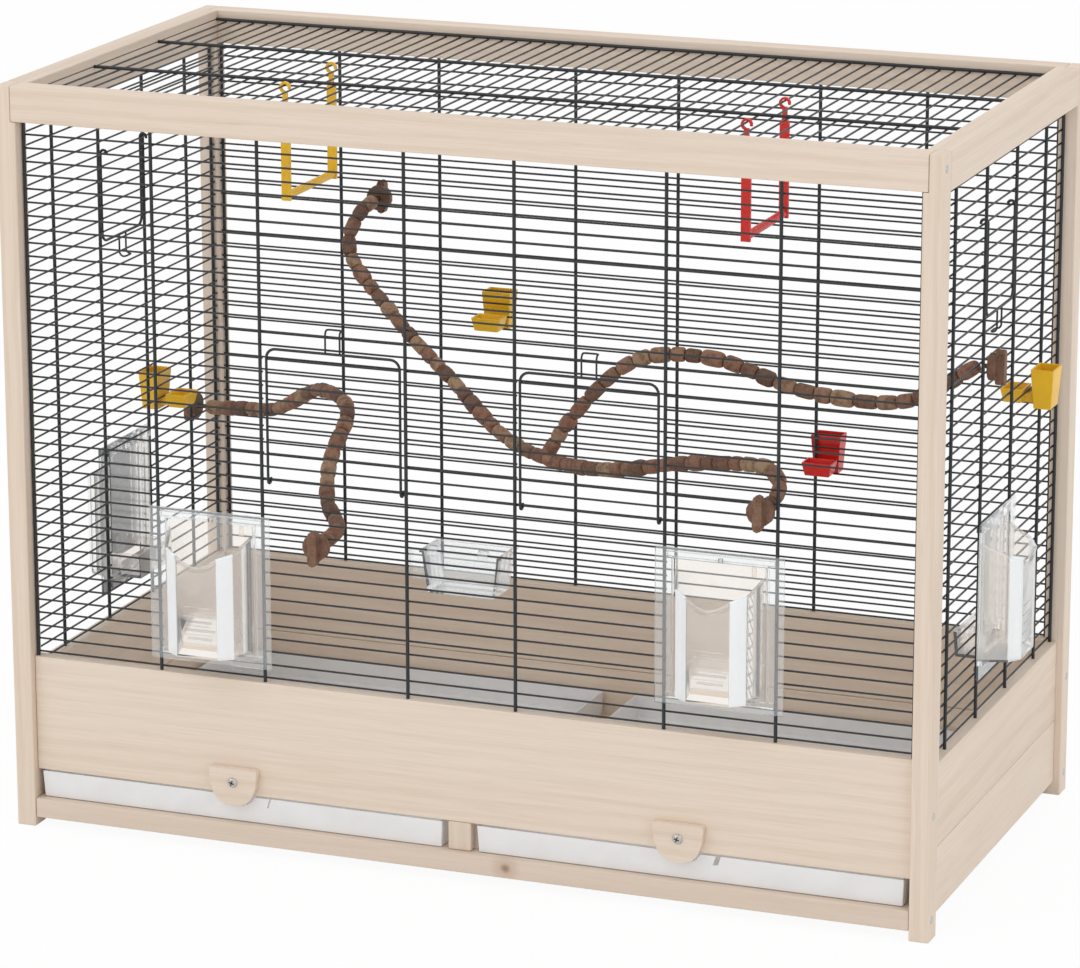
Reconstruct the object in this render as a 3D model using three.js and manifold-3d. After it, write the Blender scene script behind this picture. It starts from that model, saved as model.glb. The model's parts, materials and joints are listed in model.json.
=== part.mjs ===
// Canary breeding cage: a pine frame with wire grilles on four sides and the roof, four wire
// doors, four revolving feeders, two droppings trays with wooden turn buttons, swings, a hung
// cup, treat clips and two branch perches. Millimetres, +Z up, front towards -Y.
import * as THREE from "three";
import { mergeVertices } from "three/addons/utils/BufferGeometryUtils.js";
import Module from "manifold-3d";

const wasm = await Module();
wasm.setup();
const { Manifold, Mesh } = wasm;

// Overall frame
const FRAME_W = 810;
const FRAME_D = 410;
const FRAME_H = 640;
const GAP = 0.3; // joint gap between neighbouring pieces
const POST_W = 17;
const POST_D = 20;
const FRONT_RAIL_H = 30;
const SIDE_RAIL_H = 32;
const RAIL_D = 20;
const NOTCH = 4.8; // how far the front and rear rails sit into the posts
const BOARD_T = 12;
const BOARD_RECESS = 7;
const SIDE_RECESS = 6;
const FOOT_LIFT = 8; // posts reach this far below the lowest rail
const BOTTOM_RAIL_TOP = 25;
const SLOT_TOP = 50;
const FRONT_BOARD_TOP = 150;
const REAR_BOARD_TOP = 140;
const SIDE_BOARD_TOP = 139;
const PLANK_JOINT = 68;
const SIDE_BOARD_FOOT = 12;

// Wire grilles: thick rods outside, thin wires welded to their inner side
const ROD = 3;
const WIRE = 2;
const ROW_FIRST = 153.2;
const ROW_PITCH = 11.4;
const ROW_COUNT = 40;
const FRONT_PLANE = 194; // rod centres, from the middle of the cage
const SIDE_PLANE = 393;
const ROOF_PLANE = 632;
const FRONT_EDGE = 386;
const SIDE_EDGE = 183;
const ROOF_PITCH = 11.7;
const ROOF_WIRES = 66;
const ROOF_ROD = 63;
const FRONT_RODS = [-271, -176, -47.5, 47.5, 176, 271];
const SIDE_RODS = [-130.5, -43.5, 43.5, 130.5];

// Doors
const DOOR_FRONT_W = 120.5;
const DOOR_SIDE_W = 80;
const DOOR_X = 111.25;
const FRONT_HINGE_ROW = 15;
const FRONT_DOOR_TOP_ROW = 25;
const SIDE_HINGE_ROW = 35;
const SIDE_DOOR_LOW_ROW = 28;
const LATCH_W = 15;
const CURL_BORE = 1.8;
const DOOR_BEND = 8; // radius of the bent corners at the free end
const DOOR_SHORT = 2.4; // the free end stops this far short of the next cage wire
const LATCH_RISE = 17.2; // from the free end to the nose of the latch loop
const LATCH_LIP = 1.7; // how far the nose reaches past the axis of the cage wire

// Revolving feeders
const FEEDER_LEFT_ROW = 1;
const FEEDER_RIGHT_ROW = 2;
const FEEDER_ROWS = 11;
const FEEDER_BODY_HALF = 38;
const BAY_ROOT_HALF = 32; // the seed bay where it leaves the plate
const BAY_HALF = 23.5; // and at its outer face
const BAY_REACH = 31;
const BAY_H = 77;
const CHEEK_H = 22; // the bay's sides slope up to the plate by this much
const SCOOP_SAG = 7; // dip of the curved lip between the cheeks
const SCOOP_R = 38;
const TROUGH_REACH = 24;
const TROUGH_H = 22;
const TROUGH_HALF = 30;
const TROUGH_DRAFT = 3;
const FLANGE = 7;
const FLANGE_LAP = 3; // the flange reaches this far past the first and last wire
const TURN_GAP = 1.5; // room around the revolving body
const BAR_H = 6; // bars of the frame above and below the body
const BAR_SETBACK = 1.5;
const PIVOT_R = 1.8;
const PIVOT_PLAY = 0.4;
const PIVOT_L = 2.4;
const SEED_WALL = 1.4;
const GRIP_X = 29;
const WALL = 2;

// Hung cup
const CUP_ROW = 11;
const CUP_X = -3;
const CUP_W = 68;
const CUP_D = 40;
const CUP_H = 36;
const CUP_DRAFT_X = 5;
const CUP_DRAFT_Y = 3;
const CUP_WALL = 1.6;
const CUP_RIM_DROP = 2;
const CUP_PLATE_T = 1.8;
const CUP_PLATE_HALF = 44;
const CUP_PLATE_H = 24;
const CUP_HOOK_X = 22;
const CUP_HOOK_W = 8;
const CUP_HOOK_FOOT = 10;
const CUP_HOOK_RISE = 1.2;
const CUP_HOOK_TIP = 4;

// Trays and turn buttons
const TRAY_W = 367;
const TRAY_D = 381;
const TRAY_H = 22.8;
const TRAY_X = 199.5;
const DIVIDER_X = -1;
const BUTTON_W = 44;
const BUTTON_T = 6;
const BUTTON_PIVOT_Z = 61.5;
const BUTTON_TOP = 12.5;
const BUTTON_DROP = 20.5;
const BUTTON_LEFT_X = -203;
const BUTTON_RIGHT_X = 192;
const GRIP_W = 52;
const GRIP_Z = 40.2;

// Swings
const SWING_YELLOW_X = -17.5 * ROOF_PITCH; // each hangs from one roof wire
const SWING_RED_X = 17.5 * ROOF_PITCH;
const SWING_YELLOW_Y = -24;
const SWING_RED_Y = -37;
const SWING_SPAN = 96; // between its two arms
const SWING_BAR_Z = 536;
const SWING_BAR_R = 3.5;
const SWING_ARM_W = 8;
const SWING_ARM_T = 3;
const SWING_NECK_W = 4;
const SWING_SHOULDER = 18; // from the roof wire down to the arm's shoulders
const HOOK_BORE = 3;
const HOOK_T = 2;
const HOOK_DROP = 1.3; // the bore's centre hangs this far below the roof wire

// Perches and their wooden wing nuts
const PERCH_R = 6.5;
const STUD_R = 2;
const NUT_R = 11.5;
const NUT_T = 6;
const NUT_BORE_L = 5.6; // the stud ends inside the wing
const WING_REACH = 15;
const WING_T = 8;
const WING_RISE = 7;
const SEAT_L = 12; // straight end of a perch behind the grille

// Treat clips
const CLIP_W = 27;
const CLIP_REACH = 20;
const CLIP_H = 34;
const CLIP_DROP = 8; // from the neck's axis down to the cup's foot
const CLIP_NECK_W = 12;
const CLIP_TROUGH_REACH = 20;
const CLIP_TROUGH_H = 12;
const CLIP_DRAFT = 2.5; // how much narrower each half is at its foot
const CLIP_WALL = 1.6;
const REAR_YELLOW_X = -124;
const REAR_RED_X = 184;

const COLOURS = {
  pine: { color: 0xe2bd92, roughness: 0.62, metalness: 0 },
  wire: { color: 0x16191c, roughness: 0.42, metalness: 0.2 },
  clear: { color: 0xe6ebec, roughness: 0.12, metalness: 0 },
  tray: { color: 0xd3dce4, roughness: 0.45, metalness: 0 },
  button: { color: 0xd9b183, roughness: 0.55, metalness: 0 },
  screw: { color: 0xa9a9a6, roughness: 0.35, metalness: 0.9 },
  yellow: { color: 0xf0c714, roughness: 0.4, metalness: 0 },
  red: { color: 0xd41c14, roughness: 0.4, metalness: 0 },
  bark: { color: 0x6e4631, roughness: 0.7, metalness: 0 },
};

// ---- Solids from three geometry ----
function solid(geometry) {
  const bare = geometry.index ? geometry.toNonIndexed() : geometry.clone();
  bare.deleteAttribute("normal");
  bare.deleteAttribute("uv");
  const merged = mergeVertices(bare, 1e-4);
  return new Manifold(new Mesh({
    numProp: 3,
    vertProperties: new Float32Array(merged.attributes.position.array),
    triVerts: new Uint32Array(merged.index.array),
  }));
}

function join(...pieces) {
  return Manifold.union(pieces.flat());
}

function block(x, y, z) {
  const size = [x, y, z].map(([low, high]) => high - low);
  const middle = [x, y, z].map(([low, high]) => (high + low) / 2);
  return solid(new THREE.BoxGeometry(...size).translate(...middle));
}

// A block whose lower end is drawn in, for moulded tubs: half sizes at the foot and at the rim.
function tub([cx, cy], z, foot, rim) {
  const geometry = new THREE.BoxGeometry(2, 2, z[1] - z[0]);
  const position = geometry.attributes.position;
  for (let i = 0; i < position.count; i += 1) {
    const half = position.getZ(i) < 0 ? foot : rim;
    position.setX(i, cx + position.getX(i) * half[0]);
    position.setY(i, cy + position.getY(i) * half[1]);
  }
  return solid(geometry.translate(0, 0, (z[0] + z[1]) / 2));
}

const PLANES = {
  xy: [new THREE.Vector3(1, 0, 0), new THREE.Vector3(0, 1, 0), new THREE.Vector3(0, 0, 1)],
  yz: [new THREE.Vector3(0, 1, 0), new THREE.Vector3(0, 0, 1), new THREE.Vector3(1, 0, 0)],
  zx: [new THREE.Vector3(0, 0, 1), new THREE.Vector3(1, 0, 0), new THREE.Vector3(0, 1, 0)],
};

// A profile drawn in one plane and extruded along that plane's normal, from one level to another.
function profile(shape, plane, [from, to], curveSegments = 6) {
  const geometry = new THREE.ExtrudeGeometry(shape, {
    depth: to - from,
    bevelEnabled: false,
    steps: 1,
    curveSegments,
  });
  geometry.translate(0, 0, from);
  geometry.applyMatrix4(new THREE.Matrix4().makeBasis(...PLANES[plane]));
  return solid(geometry);
}

// A round pin along one axis, through the point given in the other two.
function pin(axis, centre, radius, [from, to], segments = 12) {
  const geometry = new THREE.CylinderGeometry(radius, radius, to - from, segments);
  geometry.translate(0, (from + to) / 2, 0);
  if (axis === "z") {
    geometry.rotateX(Math.PI / 2);
  }
  if (axis === "x") {
    geometry.rotateZ(-Math.PI / 2);
  }
  return solid(geometry.translate(...centre));
}

function polygon(points) {
  return new THREE.Shape(points.map(([x, y]) => new THREE.Vector2(x, y)));
}

const rowHeight = (row) => ROW_FIRST + row * ROW_PITCH;

// ---- Placing ----
// Wall pieces are drawn with x along the wall, -y outwards and the rod centres at y = 0.
const WALLS = {
  front: (piece) => piece.translate([0, -FRONT_PLANE, 0]),
  rear: (piece) => piece.rotate([0, 0, 180]).translate([0, FRONT_PLANE, 0]),
  left: (piece) => piece.rotate([0, 0, -90]).translate([-SIDE_PLANE, 0, 0]),
  right: (piece) => piece.rotate([0, 0, 90]).translate([SIDE_PLANE, 0, 0]),
};

const cage = new THREE.Group();
cage.name = "canary_breeding_cage";

function add(name, piece, look) {
  const data = piece.getMesh();
  const geometry = new THREE.BufferGeometry();
  geometry.setAttribute("position", new THREE.BufferAttribute(data.vertProperties, 3));
  geometry.setIndex(new THREE.BufferAttribute(data.triVerts, 1));
  geometry.computeVertexNormals();
  const mesh = new THREE.Mesh(geometry, new THREE.MeshStandardMaterial(COLOURS[look]));
  mesh.name = name;
  cage.add(mesh);
}

// ---- Wooden frame ----
const HALF_W = FRAME_W / 2;
const HALF_D = FRAME_D / 2;
const POST_X = HALF_W - POST_W;
const POST_Y = HALF_D - POST_D;

function post(side, end) {
  const xs = [POST_X, HALF_W].map((x) => side * x).sort((a, b) => a - b);
  const ys = [POST_Y, HALF_D].map((y) => end * y).sort((a, b) => a - b);
  const notchX = [POST_X - 1, POST_X + NOTCH].map((x) => side * x).sort((a, b) => a - b);
  const notch = block(notchX, [-HALF_D - 1, HALF_D + 1], [FRAME_H - FRONT_RAIL_H - GAP, FRAME_H + 1]);
  return block(xs, ys, [0, FRAME_H]).subtract(notch);
}

for (const [sideName, side] of [["left", -1], ["right", 1]]) {
  for (const [endName, end] of [["front", -1], ["rear", 1]]) {
    add(`post_${endName}_${sideName}`, post(side, end), "pine");
  }
}

const railHalf = POST_X + NOTCH - GAP;
const topBand = [FRAME_H - FRONT_RAIL_H, FRAME_H];
const railBack = HALF_D - RAIL_D;
add("top_rail_front", block([-railHalf, railHalf], [-HALF_D, -railBack - GAP], topBand), "pine");
add("top_rail_rear", block([-railHalf, railHalf], [railBack + GAP, HALF_D], topBand), "pine");

const sideRun = [-POST_Y + GAP, POST_Y - GAP];
const sideBand = [FRAME_H - SIDE_RAIL_H, FRAME_H];
const sideRailInner = HALF_W - RAIL_D;
add("top_rail_left", block([-HALF_W, -sideRailInner], sideRun, sideBand), "pine");
add("top_rail_right", block([sideRailInner, HALF_W], sideRun, sideBand), "pine");

const boardHalf = POST_X - GAP;
const boardFace = HALF_D - BOARD_RECESS;
const boardBack = boardFace - BOARD_T;
const screwHoles = [BUTTON_LEFT_X, BUTTON_RIGHT_X].map((x) =>
  pin("y", [x, 0, BUTTON_PIVOT_Z], 2.5, [-boardFace - 1, -boardFace + 9]));
const frontBoard = block([-boardHalf, boardHalf], [-boardFace, -boardBack], [SLOT_TOP, FRONT_BOARD_TOP]);
add("front_board", frontBoard.subtract(join(screwHoles)), "pine");
add("front_bottom_rail", block([-boardHalf, boardHalf], [-HALF_D + 1, -HALF_D + 18],
  [FOOT_LIFT, BOTTOM_RAIL_TOP]), "pine");
add("slot_divider", block([DIVIDER_X - 10, DIVIDER_X + 10], [-boardFace, -HALF_D + 18],
  [BOTTOM_RAIL_TOP + GAP, SLOT_TOP - GAP]), "pine");

const lowerBand = [SIDE_BOARD_FOOT, PLANK_JOINT - GAP / 2];
const rearUpper = [PLANK_JOINT + GAP / 2, REAR_BOARD_TOP];
add("rear_board_lower", block([-boardHalf, boardHalf], [boardBack, boardFace], lowerBand), "pine");
add("rear_board_upper", block([-boardHalf, boardHalf], [boardBack, boardFace], rearUpper), "pine");

const sideFace = HALF_W - SIDE_RECESS;
const sideUpper = [PLANK_JOINT + GAP / 2, SIDE_BOARD_TOP];
for (const [name, side] of [["left", -1], ["right", 1]]) {
  const xs = [sideFace - BOARD_T, sideFace].map((x) => side * x).sort((a, b) => a - b);
  add(`side_board_${name}_lower`, block(xs, sideRun, lowerBand), "pine");
  add(`side_board_${name}_upper`, block(xs, sideRun, sideUpper), "pine");
}

// Runners that carry the trays behind the bottom rail
const runnerRun = [-HALF_D + 18 + GAP, boardBack - GAP];
const runnerBand = [FOOT_LIFT + 4, BOTTOM_RAIL_TOP];
const runnerSide = sideFace - BOARD_T - GAP;
add("tray_runner_left", block([-runnerSide, -runnerSide + 18], runnerRun, runnerBand), "pine");
add("tray_runner_right", block([runnerSide - 18, runnerSide], runnerRun, runnerBand), "pine");
add("tray_runner_centre", block([DIVIDER_X - 20, DIVIDER_X + 20], runnerRun, runnerBand), "pine");

// ---- Wire grilles ----
// The edge rods are deeper, so that every wire butts against them. A wire that an opening cuts
// lies against the rods and ends on the ones that flank the opening. Rods that flank nothing
// stand a gap further out, and the deeper first and last wire carry them.
function grille({ rods, loose = [], edge, rows, from, to }) {
  const face = ROD / 2;
  const back = face + GAP + WIRE;
  const pieces = rods.map((x) => {
    const shift = loose.includes(x) ? GAP : 0;
    return block([x - face, x + face], [-face - shift, face - shift], [from, to]);
  });
  for (const x of [-edge, edge]) {
    pieces.push(block([x - face, x + face], [-face, back], [from, to]));
  }
  rows.forEach(({ at, cuts, border }) => {
    const zs = [at - WIRE / 2, at + WIRE / 2];
    const near = loose.length ? face - GAP : face;
    let depth = cuts.length ? [face, face + WIRE] : [face + GAP, back];
    if (border) {
      depth = [near, near + GAP + WIRE];
    }
    let start = -edge + face;
    for (const [left, right] of cuts) {
      pieces.push(block([start, left + face], depth, zs));
      start = right - face;
    }
    pieces.push(block([start, edge - face], depth, zs));
  });
  return join(pieces);
}

// Openings as [first cut row, last cut row, left rod, right rod].
function gridRows(first, openings, bordered) {
  const rows = [];
  for (let row = first; row < ROW_COUNT; row += 1) {
    const cuts = openings.filter(([low, high]) => row >= low && row <= high).map((cut) => cut.slice(2));
    rows.push({ at: rowHeight(row), cuts, border: bordered && (row === first || row === ROW_COUNT - 1) });
  }
  return rows;
}

function feederCut(row, left, right) {
  return [row + 1, row + FEEDER_ROWS - 1, left, right];
}

const frontOpenings = [
  feederCut(FEEDER_LEFT_ROW, FRONT_RODS[0], FRONT_RODS[1]),
  feederCut(FEEDER_RIGHT_ROW, FRONT_RODS[4], FRONT_RODS[5]),
  [FRONT_HINGE_ROW + 1, FRONT_DOOR_TOP_ROW - 1, FRONT_RODS[1], FRONT_RODS[2]],
  [FRONT_HINGE_ROW + 1, FRONT_DOOR_TOP_ROW - 1, FRONT_RODS[3], FRONT_RODS[4]],
];
const sideDoorCut = [SIDE_DOOR_LOW_ROW + 1, SIDE_HINGE_ROW - 1, SIDE_RODS[1], SIDE_RODS[2]];

const frontTop = FRAME_H - FRONT_RAIL_H - GAP;
const sideTop = FRAME_H - SIDE_RAIL_H - GAP;
add("mesh_front", WALLS.front(grille({
  rods: FRONT_RODS,
  edge: FRONT_EDGE,
  rows: gridRows(0, frontOpenings, false),
  from: FRONT_BOARD_TOP + GAP,
  to: frontTop,
})), "wire");

add("mesh_rear", WALLS.rear(grille({
  rods: FRONT_RODS,
  edge: FRONT_EDGE,
  rows: gridRows(-1, [], true),
  from: REAR_BOARD_TOP + GAP,
  to: frontTop,
})), "wire");

for (const [name, feederRow] of [["left", FEEDER_LEFT_ROW], ["right", FEEDER_RIGHT_ROW]]) {
  add(`mesh_${name}`, WALLS[name](grille({
    rods: SIDE_RODS,
    loose: [SIDE_RODS[0], SIDE_RODS[3]],
    edge: SIDE_EDGE,
    rows: gridRows(-1, [feederCut(feederRow, SIDE_RODS[1], SIDE_RODS[2]), sideDoorCut], true),
    from: SIDE_BOARD_TOP + GAP,
    to: sideTop,
  })), "wire");
}

// The roof grille lies on its side: its rods run along X and its wires along Y.
const roofRows = [];
for (let i = 0; i < ROOF_WIRES; i += 1) {
  const border = i === 0 || i === ROOF_WIRES - 1;
  roofRows.push({ at: (i - (ROOF_WIRES - 1) / 2) * ROOF_PITCH, cuts: [], border });
}
const roof = grille({
  rods: [-ROOF_ROD, ROOF_ROD],
  edge: SIDE_EDGE,
  rows: roofRows,
  from: -sideRailInner + GAP,
  to: sideRailInner - GAP,
});
add("mesh_roof", roof.rotate([-90, 0, -90]).translate([0, 0, ROOF_PLANE]), "wire");

// ---- Wire doors ----
// Drawn in the wall frame with the door's wires in the plane of the rods. Open eyes curl round the
// cage wire that the door hangs on, and a bent loop at the free end hooks over a cage wire.
const WIRE_AXIS_Y = ROD / 2 + GAP + WIRE / 2;
const CURL_OUTER = CURL_BORE + WIRE;

function doorCurl(x, z, up) {
  const eye = new THREE.Shape();
  const open = up > 0 ? Math.PI / 3 : -Math.PI / 3;
  eye.absarc(WIRE_AXIS_Y, z, CURL_OUTER, Math.PI, open, up < 0);
  eye.absarc(WIRE_AXIS_Y, z, CURL_BORE, open, Math.PI, up > 0);
  return profile(eye, "yz", [x - WIRE / 2, x + WIRE / 2], 3);
}

// The bent frame of a door, drawn as [z, x]: two legs and the free end with rounded corners.
function doorBail(centre, half, hinge, free, up) {
  const leg = (path, first, side, offset, bend) => {
    const x = centre + side * (half + offset);
    const end = free + up * offset;
    const corner = [end, x];
    const near = [end - up * bend, x];
    const far = [end, x - side * bend];
    const [start, stop] = first ? [near, far] : [far, near];
    path.lineTo(...start);
    path.quadraticCurveTo(...corner, ...stop);
  };
  const rim = WIRE / 2;
  const outline = new THREE.Shape();
  outline.moveTo(hinge, centre - half - rim);
  leg(outline, true, -1, rim, DOOR_BEND);
  leg(outline, false, 1, rim, DOOR_BEND);
  outline.lineTo(hinge, centre + half + rim);
  outline.lineTo(hinge, centre + half - rim);
  leg(outline, true, 1, -rim, DOOR_BEND - WIRE);
  leg(outline, false, -1, -rim, DOOR_BEND - WIRE);
  outline.lineTo(hinge, centre - half + rim);
  return profile(outline, "zx", [-rim, rim], 3);
}

function door({ centre, width, hingeRow, rows, freeRow }) {
  const hinge = rowHeight(hingeRow);
  const up = Math.sign(freeRow - hingeRow);
  const free = rowHeight(freeRow) - up * DOOR_SHORT;
  const nose = free + up * (LATCH_RISE + WIRE / 2);
  const half = width / 2 - WIRE / 2;
  const thick = [-WIRE / 2, WIRE / 2];
  const run = (a, b) => [Math.min(a, b), Math.max(a, b)];
  const pieces = [doorBail(centre, half, hinge, free, up)];
  for (const x of [centre - half, centre + half]) {
    pieces.push(doorCurl(x, hinge, up));
  }
  for (const z of rows.map(rowHeight)) {
    const xs = [centre - half + WIRE / 2, centre + half - WIRE / 2];
    pieces.push(block(xs, thick, [z - WIRE / 2, z + WIRE / 2]));
  }
  const reach = LATCH_W / 2;
  for (const x of [centre - reach, centre + reach - WIRE]) {
    pieces.push(block([x, x + WIRE], thick, run(free + up * WIRE / 2, nose)));
  }
  pieces.push(block([centre - reach, centre + reach], [-WIRE / 2, WIRE_AXIS_Y + LATCH_LIP],
    run(nose, nose + up * WIRE)));
  return join(pieces);
}

function rowsBetween(low, high) {
  return Array.from({ length: high - low - 1 }, (unused, i) => low + 1 + i);
}

const frontDoor = (centre) => door({
  centre,
  width: DOOR_FRONT_W,
  hingeRow: FRONT_HINGE_ROW,
  rows: rowsBetween(FRONT_HINGE_ROW, FRONT_DOOR_TOP_ROW),
  freeRow: FRONT_DOOR_TOP_ROW,
});
const sideDoor = () => door({
  centre: 0,
  width: DOOR_SIDE_W,
  hingeRow: SIDE_HINGE_ROW,
  rows: rowsBetween(SIDE_DOOR_LOW_ROW, SIDE_HINGE_ROW),
  freeRow: SIDE_DOOR_LOW_ROW,
});
add("door_front_left", WALLS.front(frontDoor(-DOOR_X)), "wire");
add("door_front_right", WALLS.front(frontDoor(DOOR_X)), "wire");
add("door_left", WALLS.left(sideDoor()), "wire");
add("door_right", WALLS.right(sideDoor()), "wire");

// ---- Revolving feeders ----
// The frame snaps between two rods; the body turns on two pins inside it.
function feederFrame(bay, foot) {
  const low = rowHeight(foot);
  const high = rowHeight(foot + FEEDER_ROWS);
  const window = [low + BAR_H, high - BAR_H];
  const back = -ROD / 2 - GAP;
  const front = back - WALL;
  const half = bay / 2 + FLANGE;
  const room = FEEDER_BODY_HALF + TURN_GAP;
  const plate = block([-half, half], [front, back], [low - FLANGE_LAP, high + FLANGE_LAP])
    .subtract(block([-room, room], [front - 1, back + 1], window));
  const barHalf = bay / 2 - ROD / 2 - GAP;
  const bars = [[low + BAR_SETBACK, window[0]], [window[1], high - BAR_SETBACK]].map((zs) =>
    block([-barHalf, barHalf], [front, ROD], zs));
  const lips = [-1, 1].map((side) => {
    const xs = [side * room, side * (room + TURN_GAP)].sort((a, b) => a - b);
    return block(xs, [front, 1], window);
  });
  const depth = PIVOT_L + 0.6;
  const holes = [[window[0] - depth, window[0] + 1], [window[1] - 1, window[1] + depth]].map((zs) =>
    pin("z", [0, 0, 0], PIVOT_R + PIVOT_PLAY, zs, 8));
  return join(plate, bars, lips).subtract(join(holes));
}

// A plan outline given as [x, y] pairs, raised between two heights.
function plan(points, zs) {
  return profile(polygon(points), "xy", zs);
}

function feederBody(foot) {
  const low = rowHeight(foot) + BAR_H + GAP;
  const high = rowHeight(foot + FEEDER_ROWS) - BAR_H - GAP;
  const face = ROD / 2;
  const plate = block([-FEEDER_BODY_HALF, FEEDER_BODY_HALF], [-face, face], [low, high]);
  const floor = low + WALL;
  const lip = floor + BAY_H;
  const cheekTop = lip + CHEEK_H;
  const outer = [[-BAY_ROOT_HALF, -1], [-BAY_HALF, -BAY_REACH], [BAY_HALF, -BAY_REACH], [BAY_ROOT_HALF, -1]];
  const skin = BAY_REACH - WALL;
  const inner = [[-BAY_ROOT_HALF + WALL + 1, -face], [-BAY_HALF + SEED_WALL, -skin],
    [BAY_HALF - SEED_WALL, -skin], [BAY_ROOT_HALF - WALL - 1, -face]];
  const slope = profile(polygon([[-BAY_REACH - 1, lip], [0, cheekTop + 1], [0, cheekTop + 9],
    [-BAY_REACH - 1, cheekTop + 9]]), "yz", [-FEEDER_BODY_HALF, FEEDER_BODY_HALF]);
  const scoop = pin("y", [0, 0, lip + SCOOP_R - SCOOP_SAG], SCOOP_R, [-BAY_REACH - 1, -skin + 1], 36)
    .intersect(block([-BAY_HALF + SEED_WALL, BAY_HALF - SEED_WALL], [-BAY_REACH - 2, 0], [floor, cheekTop]));
  const bay = plan(outer, [floor, cheekTop])
    .subtract(join(slope, scoop, plan(inner, [floor + WALL, cheekTop + 1])));
  const middle = TROUGH_REACH / 2;
  const inside = block([-FEEDER_BODY_HALF, FEEDER_BODY_HALF], [0, TROUGH_REACH + 1], [low, high]);
  const seat = block([-FEEDER_BODY_HALF, FEEDER_BODY_HALF], [face, TROUGH_REACH + 1], [low, high]);
  const troughTop = floor + TROUGH_H;
  const trough = tub([0, middle], [floor, troughTop],
    [TROUGH_HALF - TROUGH_DRAFT, middle - 1], [TROUGH_HALF, middle]).intersect(inside);
  const troughHollow = tub([0, middle], [floor + WALL, troughTop + 1],
    [TROUGH_HALF - TROUGH_DRAFT - WALL, middle - 1 - WALL],
    [TROUGH_HALF - WALL, middle - WALL]).intersect(seat);
  const throatHalf = BAY_HALF - SEED_WALL;
  const throat = block([-throatHalf, throatHalf], [-face - 1, face + 1], [floor + 2 * WALL, troughTop - 3]);
  const pins = [[low - PIVOT_L, low + 1], [high - 1, high + PIVOT_L]].map((zs) =>
    pin("z", [0, 0, 0], PIVOT_R, zs, 8));
  const grip = block([GRIP_X - 2, GRIP_X + 2], [-face - WALL, -face + 0.5], [cheekTop + 2, high - 2]);
  return join(plate, bay, trough, pins, grip).subtract(join(throat, troughHollow));
}

const FRONT_BAY = FRONT_RODS[1] - FRONT_RODS[0];
const FRONT_BAY_X = (FRONT_RODS[1] + FRONT_RODS[0]) / 2;
const SIDE_BAY = SIDE_RODS[2] - SIDE_RODS[1];
for (const [name, x, foot] of [["left", FRONT_BAY_X, FEEDER_LEFT_ROW], ["right", -FRONT_BAY_X, FEEDER_RIGHT_ROW]]) {
  add(`feeder_frame_front_${name}`, WALLS.front(feederFrame(FRONT_BAY, foot).translate([x, 0, 0])), "clear");
  add(`feeder_front_${name}`, WALLS.front(feederBody(foot).translate([x, 0, 0])), "clear");
  add(`feeder_frame_${name}`, WALLS[name](feederFrame(SIDE_BAY, foot)), "clear");
  add(`feeder_${name}`, WALLS[name](feederBody(foot)), "clear");
}

// ---- Hung cup inside the front grille ----
// Two hooks reach over a grille wire, and the back plate rests against the wires below it.
function hangingCup(x, row) {
  const top = rowHeight(row);
  const back = ROD / 2 + GAP + WIRE + GAP;
  const front = back + CUP_PLATE_T;
  const wireY = ROD / 2 + WIRE / 2;
  const inner = back - wireY;
  const outer = front - wireY;
  const hook = new THREE.Shape();
  hook.moveTo(back, top - CUP_HOOK_FOOT);
  hook.lineTo(front, top - CUP_HOOK_FOOT);
  hook.lineTo(front, top + CUP_HOOK_RISE);
  hook.absarc(wireY, top + CUP_HOOK_RISE, outer, 0, Math.PI, false);
  hook.lineTo(wireY - outer, top - CUP_HOOK_TIP);
  hook.lineTo(wireY - inner, top - CUP_HOOK_TIP);
  hook.absarc(wireY, top + CUP_HOOK_RISE, inner, Math.PI, 0, true);
  const middle = [x, back + CUP_D / 2];
  const rim = top - CUP_RIM_DROP;
  const hollow = [CUP_W / 2 - CUP_WALL, CUP_D / 2 - CUP_WALL];
  const shell = tub(middle, [rim - CUP_H, rim], [CUP_W / 2 - CUP_DRAFT_X, CUP_D / 2 - CUP_DRAFT_Y],
    [CUP_W / 2, CUP_D / 2]);
  const room = tub(middle, [rim - CUP_H + WALL, rim + WALL],
    [hollow[0] - CUP_DRAFT_X, hollow[1] - CUP_DRAFT_Y], hollow);
  const plate = block([x - CUP_PLATE_HALF, x + CUP_PLATE_HALF], [back, front],
    [rim - CUP_PLATE_H, rim]);
  const lip = block([x - CUP_W / 2 - WALL, x + CUP_W / 2 + WALL], [back, back + CUP_D + WALL],
    [rim - WALL, rim]);
  const mouth = block([x - hollow[0], x + hollow[0]],
    [back + CUP_WALL, back + CUP_D - CUP_WALL], [rim - WALL - 1, rim + 1]);
  const hooks = [-CUP_HOOK_X, CUP_HOOK_X].map((side) =>
    profile(hook, "yz", [x + side - CUP_HOOK_W / 2, x + side + CUP_HOOK_W / 2], 3));
  return join(shell.subtract(room), plate, lip.subtract(mouth), hooks);
}

add("hanging_cup", WALLS.front(hangingCup(CUP_X, CUP_ROW)), "clear");

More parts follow.
